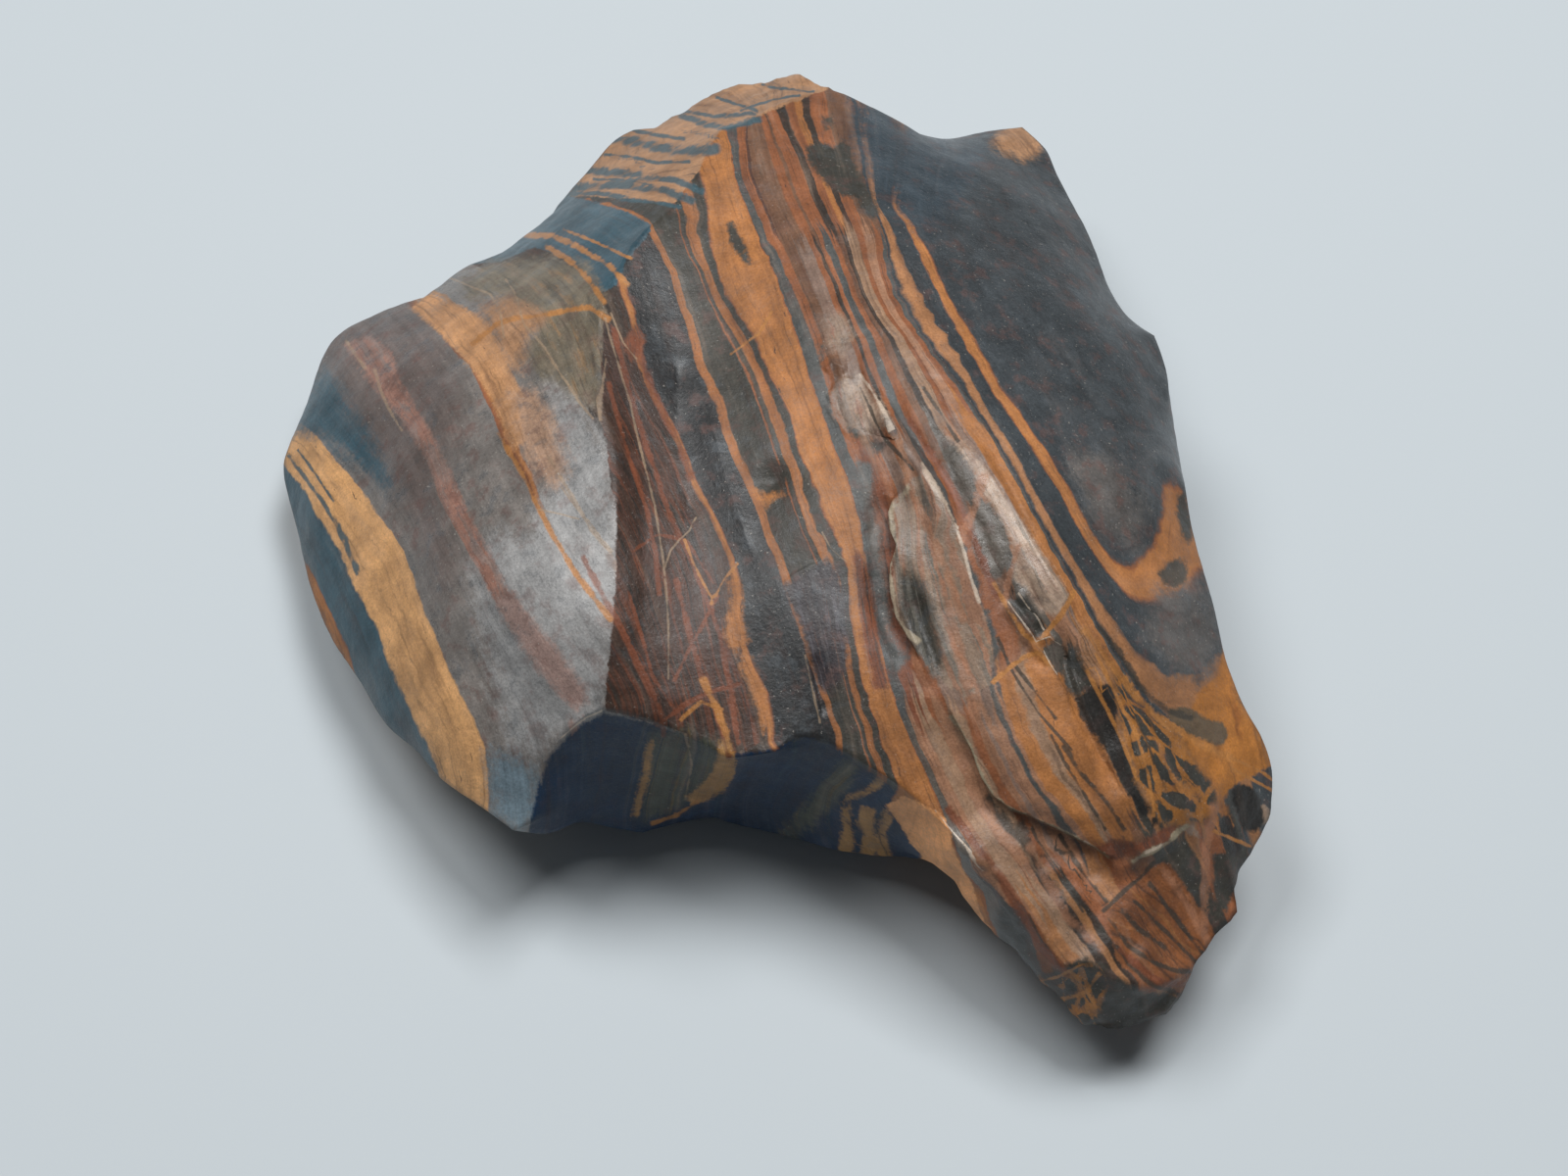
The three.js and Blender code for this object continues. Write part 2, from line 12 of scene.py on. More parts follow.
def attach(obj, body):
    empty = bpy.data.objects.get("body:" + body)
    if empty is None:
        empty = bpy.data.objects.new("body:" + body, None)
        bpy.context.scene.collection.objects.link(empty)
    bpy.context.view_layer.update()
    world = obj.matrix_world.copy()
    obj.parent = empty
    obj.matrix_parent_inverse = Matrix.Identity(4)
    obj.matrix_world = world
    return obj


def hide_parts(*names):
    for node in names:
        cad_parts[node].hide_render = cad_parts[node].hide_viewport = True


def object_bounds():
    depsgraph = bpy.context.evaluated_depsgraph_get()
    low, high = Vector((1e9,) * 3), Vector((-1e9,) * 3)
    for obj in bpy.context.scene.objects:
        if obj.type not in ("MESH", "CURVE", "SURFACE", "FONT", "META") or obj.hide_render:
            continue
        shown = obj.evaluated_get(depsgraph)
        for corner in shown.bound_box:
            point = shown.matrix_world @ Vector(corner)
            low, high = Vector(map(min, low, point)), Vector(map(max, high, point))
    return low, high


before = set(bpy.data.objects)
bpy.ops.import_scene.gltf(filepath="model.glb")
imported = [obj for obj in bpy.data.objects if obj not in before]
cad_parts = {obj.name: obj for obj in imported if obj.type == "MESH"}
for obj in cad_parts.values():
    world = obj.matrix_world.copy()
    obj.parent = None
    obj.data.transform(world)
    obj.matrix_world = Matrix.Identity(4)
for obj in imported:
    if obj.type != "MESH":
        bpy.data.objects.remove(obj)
CAD_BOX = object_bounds()
MM = 0.001

# ---- The view ------------------------------------------------------------------------------------

# The camera stands in front and looks down. A pixel of the photo is PIXEL wide at the target's depth.
ELEVATION = math.radians(62)
DISTANCE = 200.0
PIXEL = 0.075
TARGET = np.array([2.31, -9.25, 15.0])
IMAGE_CENTRE = (800, 600)
SENSOR_WIDTH = 36.0
FRAME_WIDTH = 1600 * PIXEL

VIEW_RIGHT = np.array([1.0, 0.0, 0.0])
VIEW_UP = np.array([0.0, math.sin(ELEVATION), math.cos(ELEVATION)])
VIEW_BACK = np.array([0.0, -math.cos(ELEVATION), math.sin(ELEVATION)])
EYE = TARGET + DISTANCE * VIEW_BACK


def add_camera():
    data = bpy.data.cameras.new("camera")
    data.sensor_width = SENSOR_WIDTH
    data.lens = SENSOR_WIDTH * DISTANCE / FRAME_WIDTH
    data.clip_start = 0.005
    camera = bpy.data.objects.new("camera", data)
    camera.location = EYE * MM
    camera.rotation_euler = (math.pi / 2 - ELEVATION, 0, 0)
    bpy.context.scene.collection.objects.link(camera)
    bpy.context.scene.camera = camera


def ray_through(x, y):
    """Direction of the ray that leaves the eye through a pixel of the photo."""
    right = (x - IMAGE_CENTRE[0]) * PIXEL / DISTANCE
    up = (IMAGE_CENTRE[1] - y) * PIXEL / DISTANCE
    ray = right * VIEW_RIGHT + up * VIEW_UP - VIEW_BACK
    return ray / np.linalg.norm(ray)


def seen_at(points):
    """Where the eye sees each point: pixels across and down, and how many millimetres away."""
    offset = points - EYE
    scale = DISTANCE / PIXEL / (-offset @ VIEW_BACK)
    across = IMAGE_CENTRE[0] + (offset @ VIEW_RIGHT) * scale
    down = IMAGE_CENTRE[1] - (offset @ VIEW_UP) * scale
    return across, down, np.linalg.norm(offset, axis=1)


# ---- The banding ---------------------------------------------------------------------------------

# Every band edge is a line of equal "bed", a number that grows from the left to the right across the
# banding, by about one for each pixel of the photo. The points are where the edge is seen.
BED_LINES = {
    "sliver_right": (258, [(316, 580), (330, 607), (343, 635), (356, 665)]),
    "amber_left": (290, [(295, 478), (308, 500), (325, 527), (338, 550), (350, 575), (362, 600), (375, 625),
        (388, 652), (400, 682), (410, 708), (422, 732), (436, 760), (446, 784)]),
    "amber_right": (327, [(306, 425), (320, 441), (335, 459), (355, 481), (376, 507), (400, 540),
        (412, 562), (422, 588), (432, 617), (444, 645), (453, 671), (462, 692), (475, 715), (486, 741),
        (495, 762), (498, 785), (499, 812), (505, 835)]),
    "red_middle": (436, [(372, 358), (387, 382), (402, 405), (420, 425), (433, 445), (443, 470), (452, 500),
        (467, 530), (487, 562), (507, 600), (524, 635), (545, 668), (565, 695), (585, 718)]),
    "split_left": (515, [(420, 314), (436, 325), (452, 342), (462, 358), (478, 372), (487, 388), (498, 412),
        (507, 432), (516, 452), (525, 470), (535, 488), (544, 508), (555, 530), (566, 550), (577, 568),
        (589, 587), (603, 606), (617, 625), (629, 643), (641, 664), (652, 688), (663, 712), (669, 733),
        (660, 752), (652, 792), (643, 828)]),
    "split_middle": (527, [(553, 508), (564, 530), (575, 549), (586, 566), (599, 586), (612, 604),
        (625, 622), (637, 643), (649, 664), (660, 688), (671, 712), (678, 733), (670, 755), (661, 792),
        (653, 830)]),
    "split_right": (548, [(455, 300), (475, 318), (490, 335), (502, 352), (514, 370), (526, 388),
        (537, 405), (545, 425), (553, 450), (562, 470), (575, 492), (590, 518), (605, 543), (620, 560),
        (630, 575), (642, 602), (656, 640), (669, 680), (682, 715), (690, 742)]),
    "first_middle": (693, [(560, 240), (580, 245), (600, 254), (618, 265), (630, 276), (637, 300),
        (646, 322), (652, 345), (651, 365), (657, 385), (668, 404), (680, 426), (692, 449), (700, 467),
        (709, 492), (718, 510), (727, 528), (737, 548), (745, 566), (751, 585), (754, 605), (753, 630),
        (757, 655), (766, 680), (776, 703), (784, 730), (786, 757)]),
    "second_middle": (744.5, [(600, 203), (620, 207), (640, 216), (658, 226), (668, 240), (676, 257),
        (688, 278), (695, 300), (703, 324), (709, 346), (716, 371), (724, 389), (732, 409), (739, 431),
        (745, 451), (753, 471), (764, 493), (772, 509), (779, 526), (785, 546), (792, 564), (801, 589),
        (810, 613), (818, 636), (826, 661), (836, 689), (846, 717), (855, 745), (857, 768), (840, 788),
        (820, 810), (806, 832)]),
    "third_left": (791, [(690, 203), (698, 238), (706, 260), (718, 282), (725, 301), (736, 321), (747, 341),
        (758, 361), (767, 381), (776, 401), (783, 421), (789, 441), (796, 461), (804, 481), (810, 501),
        (816, 521), (823, 541), (833, 561), (843, 583), (850, 605), (853, 640), (861, 680), (866, 700),
        (872, 725), (884, 760), (893, 783), (876, 800), (858, 812)]),
    "third_right": (803, [(708, 238), (717, 260), (727, 281), (735, 301), (746, 320), (758, 339),
        (769, 360), (778, 379), (787, 399), (794, 420), (801, 441), (807, 461), (814, 481), (819, 501),
        (826, 521), (834, 541), (844, 561), (851, 582), (856, 605), (859, 640), (868, 680), (873, 700),
        (879, 725), (890, 760), (900, 783), (888, 809), (868, 821)]),
    "broad_left": (811, [(605, 186), (630, 187), (660, 184), (690, 179), (714, 172), (718, 190), (721, 212),
        (725, 240), (728, 262), (733, 282), (739, 301), (752, 320), (765, 340), (774, 361), (784, 381),
        (796, 402), (806, 422), (810, 440), (815, 460), (826, 482), (835, 503), (842, 522), (851, 541),
        (859, 560), (866, 582), (868, 605), (871, 640), (877, 675), (886, 710), (896, 742), (908, 775),
        (919, 806)]),
    "broad_right": (849, [(700, 122), (722, 128), (742, 134), (747, 150), (749, 172), (757, 200),
        (766, 221), (776, 241), (785, 262), (794, 282), (801, 302), (808, 322), (814, 342), (819, 362),
        (824, 382), (831, 402), (838, 422), (846, 442), (854, 462), (862, 482), (869, 502), (874, 522),
        (878, 542), (881, 562), (884, 582), (887, 605), (893, 640), (903, 680), (915, 718), (930, 758),
        (948, 795), (962, 828), (980, 868), (1000, 905), (1012, 945)]),
    "seam_right": (862, [(715, 113), (736, 120), (757, 127), (757, 160), (760, 180), (768, 200), (776, 220),
        (785, 240), (793, 260), (801, 280), (811, 300), (818, 320), (827, 340), (833, 360), (840, 380),
        (844, 400), (850, 420), (858, 440), (866, 460), (875, 480), (881, 500), (888, 520), (893, 540),
        (897, 580), (901, 620), (906, 650), (914, 685), (927, 722), (942, 760), (962, 800), (976, 835),
        (1003, 882), (1020, 902), (1035, 925), (1046, 947), (1056, 972)]),
    "plate_stripe": (926, [(955, 550), (965, 580), (975, 610), (986, 640), (1000, 667), (1011, 692),
        (1021, 717), (1032, 742), (1046, 771), (1061, 800), (1077, 822), (1092, 842)]),
    "dark_stripe": (934, [(790, 110), (798, 130), (808, 150), (815, 166), (821, 182), (828, 201),
        (838, 222), (848, 241), (856, 261), (866, 286), (874, 308), (881, 321), (889, 338), (898, 358),
        (907, 380), (915, 401), (924, 421), (934, 441), (944, 461), (955, 484), (966, 506), (978, 532),
        (990, 562), (1003, 592), (1012, 625), (1019, 660), (1023, 690), (1030, 715), (1041, 742),
        (1055, 771), (1069, 800)]),
    "lens_left": (962, [(915, 345), (928, 368), (940, 392), (953, 420), (966, 445), (985, 480), (1003, 510),
        (1020, 545), (1040, 580), (1062, 618), (1085, 655), (1100, 692), (1112, 725), (1127, 762),
        (1143, 795), (1158, 828)]),
    "lens_right": (976, [(923, 345), (936, 368), (950, 392), (963, 420), (978, 445), (998, 478),
        (1016, 508), (1036, 545), (1058, 580), (1082, 615), (1103, 650), (1125, 690), (1140, 712),
        (1151, 740), (1160, 772), (1167, 803)]),
    "wide_right": (1015, [(904, 262), (908, 281), (915, 301), (926, 321), (938, 341), (951, 361),
        (967, 381), (983, 401), (997, 421), (1010, 441), (1021, 461), (1033, 481), (1044, 501), (1054, 521),
        (1064, 541), (1074, 561), (1086, 581), (1098, 601), (1109, 621), (1118, 641), (1131, 662),
        (1146, 686), (1158, 706), (1171, 723), (1191, 739), (1216, 753), (1246, 761)]),
    "sixth_left": (1020, [(909, 262), (915, 281), (925, 301), (936, 321), (946, 341), (960, 361),
        (976, 381), (989, 401), (1002, 421), (1014, 441), (1025, 461), (1038, 481), (1049, 501),
        (1060, 521), (1071, 541), (1082, 561), (1094, 581), (1106, 601), (1118, 621), (1128, 641),
        (1140, 661), (1152, 681), (1164, 699), (1179, 712), (1200, 722), (1225, 731), (1250, 736)]),
    "sixth_right": (1027, [(910, 235), (921, 262), (930, 281), (942, 301), (955, 321), (968, 341),
        (979, 361), (989, 381), (999, 401), (1010, 421), (1020, 438), (1031, 456), (1043, 476), (1054, 496),
        (1066, 519), (1078, 540), (1090, 560), (1103, 583), (1116, 605), (1130, 626), (1144, 644),
        (1160, 664), (1178, 682), (1200, 692), (1221, 700), (1236, 690), (1248, 668)]),
    "hook_outside": (1048, [(922, 225), (930, 240), (939, 258), (947, 278), (956, 298), (964, 318),
        (974, 338), (986, 358), (1000, 380), (1012, 400), (1026, 420), (1041, 441), (1055, 461),
        (1068, 482), (1080, 501), (1091, 521), (1103, 542), (1114, 562), (1128, 584), (1144, 601),
        (1160, 612), (1178, 619), (1196, 623), (1214, 618), (1225, 605), (1229, 588)]),
    "hook_inside": (1062, [(920, 212), (928, 222), (936, 238), (949, 258), (957, 278), (966, 300),
        (978, 320), (991, 340), (1003, 360), (1015, 380), (1026, 400), (1042, 420), (1056, 441),
        (1070, 461), (1081, 482), (1093, 501), (1104, 520), (1116, 540), (1127, 558), (1139, 570),
        (1149, 572), (1158, 565), (1166, 556), (1178, 545), (1181, 528), (1183, 510), (1187, 492),
        (1196, 479), (1206, 465)]),
    "iron_middle": (1092, [(970, 190), (1020, 260), (1060, 330), (1100, 400), (1130, 470), (1148, 525)]),
    "iron_far": (1112, [(1040, 190), (1090, 280), (1130, 350), (1165, 420)]),
}
# How far the field of beds may pass by the points, so that it stays smooth.
SMOOTHING = 0.05
# Points whose beds are worked out together.
BATCH = 8000

# What lies from each bed onwards, up to the next. The middle is laid over it.
LAYERS = [
    (-900, "iron"), (-620, "golden"), (-590, "iron"), (-300, "red"), (-270, "iron"), (20, "golden"),
    (52, "iron"), (236, "golden"), (258, "teal"), (290, "amber"), (327, "mottled"), (424, "brick"),
    (443, "mottled"), (514, "rust"), (517, "golden"), (524, "mottled"), (543, "tan"), (548, "mottled"),
    (610, "umber"), (689, "golden"), (696, "deck"), (740, "dull_gold"), (749, "olive_black"),
    (785, "rust"), (787, "olive_black"), (793, "dull_gold"), (803, "olive_black"), (811, "golden"),
    (849, "rust"), (1015, "iron"), (1019, "apricot"), (1027, "iron"), (1048, "golden"), (1061, "iron"),
    (1300, "golden"), (1325, "iron"), (1500, "red"), (1530, "iron"), (1800, "golden"), (1850, "iron"),
]
# The middle of the banding changes along its run: where each part starts, in millimetres, and its layers.
MIDDLE = (849, 1015)
MIDDLE_LAYERS = [
    (-99, [
        (849, "slate"), (858, "rust"), (868, "maroon"), (872, "brown"), (900, "rust"), (912, "brown"),
        (917, "rust"), (935, "umber"), (946, "rust"), (956, "golden"), (964, "umber"), (972, "rust"),
        (990, "brown")]),
    (-13, [
        (849, "slate"), (862, "rust"), (872, "brown"), (885, "rose"), (903, "rust"), (910, "umber"),
        (915, "rust"), (922, "slate"), (932, "rust"), (942, "brown"), (950, "umber"), (958, "tan"),
        (975, "rust"), (985, "salmon"), (1000, "rust"), (1010, "slate")]),
    (7, [
        (849, "slate"), (862, "deep_red"), (880, "rust"), (893, "rose"), (906, "salmon"), (916, "rose"),
        (925, "slate"), (933, "rust"), (941, "brown"), (950, "grey"), (962, "salmon"), (978, "rose"),
        (990, "golden"), (1012, "slate")]),
    (26, [
        (849, "grey"), (858, "salmon"), (870, "tan"), (882, "salmon"), (892, "tan"), (900, "rust"),
        (906, "salmon"), (911, "rose"), (914, "salmon"), (922, "slate"), (926, "salmon"), (929, "golden"),
        (938, "tan"), (943, "golden"), (963, "olive_black"), (968, "ochre"), (998, "golden"),
        (1012, "slate")]),
    (39, [
        (849, "slate"), (862, "rust"), (869, "apricot"), (880, "tan"), (890, "umber"), (898, "ochre"),
        (903, "umber"), (908, "rust"), (920, "apricot"), (932, "rust"), (945, "brown"),
        (960, "olive_black"), (985, "rust"), (1000, "olive_black")]),
]
# The parts of the middle blend over OVERLAP and reach into each other in FINGERS, in millimetres.
OVERLAP = 0.8
FINGERS = 14.0
# Two layers blend over EDGE, and the rims of a golden band are RIM wide, in beds.
EDGE = 1.2
RIM = 1.2


def with_rims(layers):
    """The layers with a thin rust-red rim on both sides of every golden band."""
    result = []
    for (start, rock), (end, _) in zip(layers, layers[1:] + layers[-1:]):
        if rock == "golden" and end - start > 4 * RIM:
            result += [(start, "rust"), (start + RIM, "golden"), (end - RIM, "rust")]
        else:
            result.append((start, rock))
    return result


# Each kind of rock: its colour, and how strongly it is laminated, how strongly mottled, how glossy.
ROCKS = {
    "iron": ((0.046, 0.053, 0.058), 0.15, 0.8, 0.7),
    "blue_iron": ((0.036, 0.050, 0.062), 0.15, 0.5, 0.7),
    "teal": ((0.036, 0.080, 0.105), 0.3, 0.2, 0.6),
    "slate": ((0.074, 0.076, 0.072), 0.5, 0.8, 0.4),
    "mottled": ((0.185, 0.165, 0.150), 0.05, 1.0, 0.8),
    # Painted sheen: a pale grey that stands in for the light the left face reflects beside the ridge.
    "sheen_grey": ((0.285, 0.280, 0.275), 0.15, 0.7, 1.0),
    "grey": ((0.115, 0.100, 0.084), 0.5, 0.5, 0.8),
    # Pale rock, made lighter by painted sheen where the scoop and the plate catch the light, and for the
    # painted highlight spots.
    "pale": ((0.270, 0.190, 0.136), 0.3, 0.5, 0.7),
    # Cream rock with painted sheen, for the brightest part of the scoop and the rib.
    "cream_and_sheen": ((0.430, 0.310, 0.228), 0.3, 0.6, 0.8),
    "rose": ((0.225, 0.145, 0.108), 0.6, 0.5, 0.5),
    "salmon": ((0.320, 0.160, 0.090), 0.6, 0.4, 0.4),
    "golden": ((0.375, 0.150, 0.046), 0.45, 0.25, 0.15),
    "amber": ((0.600, 0.322, 0.134), 0.45, 0.15, 0.2),
    "buff": ((0.400, 0.215, 0.110), 0.5, 0.2, 0.2),
    "orange": ((0.410, 0.158, 0.032), 0.3, 0.1, 0.2),
    "ochre": ((0.300, 0.140, 0.058), 1.0, 0.3, 0.3),
    "tan": ((0.310, 0.185, 0.112), 0.5, 0.5, 0.4),
    "rust": ((0.255, 0.092, 0.038), 0.6, 0.3, 0.25),
    "brick": ((0.290, 0.150, 0.110), 0.2, 1.0, 0.7),
    "brown": ((0.160, 0.080, 0.046), 0.7, 0.5, 0.3),
    "red": ((0.130, 0.062, 0.048), 0.4, 0.7, 0.8),
    "umber": ((0.042, 0.030, 0.023), 0.9, 0.5, 0.4),
    "maroon": ((0.085, 0.042, 0.030), 0.6, 0.6, 0.4),
    "olive_black": ((0.046, 0.043, 0.035), 0.4, 0.7, 0.35),
    "black": ((0.026, 0.024, 0.022), 0.3, 0.2, 0.7),
    "olive": ((0.170, 0.140, 0.098), 0.4, 0.6, 0.4),
    "deep_red": ((0.185, 0.060, 0.027), 0.9, 0.4, 0.1),
    # Painted shade with a painted blue reflection of a floor, for the shaded undercut front face.
    "navy_shade": ((0.002, 0.022, 0.060), 0.2, 0.2, 0.0),
    # Olive rock darkened and blued by painted shade and a painted blue reflection, for the undercut face.
    "shaded_olive": ((0.062, 0.070, 0.052), 0.6, 0.6, 0.2),
    # Orange rock painted much brighter: painted light on the bevel, which the lamps leave in shade.
    "bevel": ((0.720, 0.330, 0.130), 0.2, 0.1, 0.2),
    "apricot": ((0.350, 0.160, 0.068), 0.7, 0.4, 0.3),
    "hook_grey": ((0.105, 0.096, 0.090), 0.2, 1.0, 0.7),
    "dull_gold": ((0.300, 0.116, 0.040), 0.6, 0.4, 0.2),
    "bar": ((0.120, 0.082, 0.048), 0.6, 0.4, 0.3),
    "pink_face": ((0.400, 0.245, 0.160), 0.2, 1.0, 0.6),
    "pink_streak": ((0.330, 0.225, 0.195), 0.1, 1.0, 0.9),
    "split_gold": ((0.490, 0.250, 0.112), 0.5, 0.3, 0.3),
    # A painted blue reflection of a floor on the steep lower left tip.
    "tip_blue_reflection": ((0.145, 0.200, 0.235), 0.1, 0.3, 0.6),
    "zone_brown": ((0.052, 0.029, 0.021), 0.4, 0.5, 0.4),
    # Painted shade: a darker copy of the mottled rock where the left face turns away from the light.
    "shaded_mottled": ((0.125, 0.098, 0.088), 0.05, 1.0, 0.7),
    "deck": ((0.026, 0.027, 0.028), 0.2, 1.0, 0.5),
    # Gold rock painted brighter, as painted light on the shaded undercut face.
    "old_gold": ((0.370, 0.195, 0.068), 0.3, 0.6, 0.2),
    "violet": ((0.034, 0.028, 0.031), 0.3, 0.9, 0.5),
}


def bed_samples(tree):
    """The band edges as points on the stone, with their beds."""
    points, beds = [], []
    for bed, pixels in BED_LINES.values():
        for x, y in pixels:
            hit = tree.ray_cast(Vector(EYE), Vector(ray_through(x, y)))[0]
            if hit:
                points.append(hit)
                beds.append(bed)
    return np.array(points), np.array(beds, float)


def radial(a, b):
    """How near every point of a is to every point of b, as the negative of the distance."""
    return -np.linalg.norm(a[:, None, :] - b[None, :, :], axis=2)


def bed_at(points, tree):
    """The bed of every point: a smooth field through the samples that runs on evenly beyond them."""
    centres, beds = bed_samples(tree)
    count = len(centres)
    flat = np.hstack([centres, np.ones((count, 1))])
    system = np.zeros((count + 4, count + 4))
    system[:count, :count] = radial(centres, centres) + SMOOTHING * np.eye(count)
    system[:count, count:] = flat
    system[count:, :count] = flat.T
    weights = np.linalg.solve(system, np.append(beds, np.zeros(4)))
    result = np.empty(len(points))
    for start in range(0, len(points), BATCH):
        batch = points[start:start + BATCH]
        trend = np.hstack([batch, np.ones((len(batch), 1))]) @ weights[count:]
        result[start:start + BATCH] = radial(batch, centres) @ weights[:count] + trend
    return result


# ---- Marks that don't follow the banding ----------------------------------------------------------

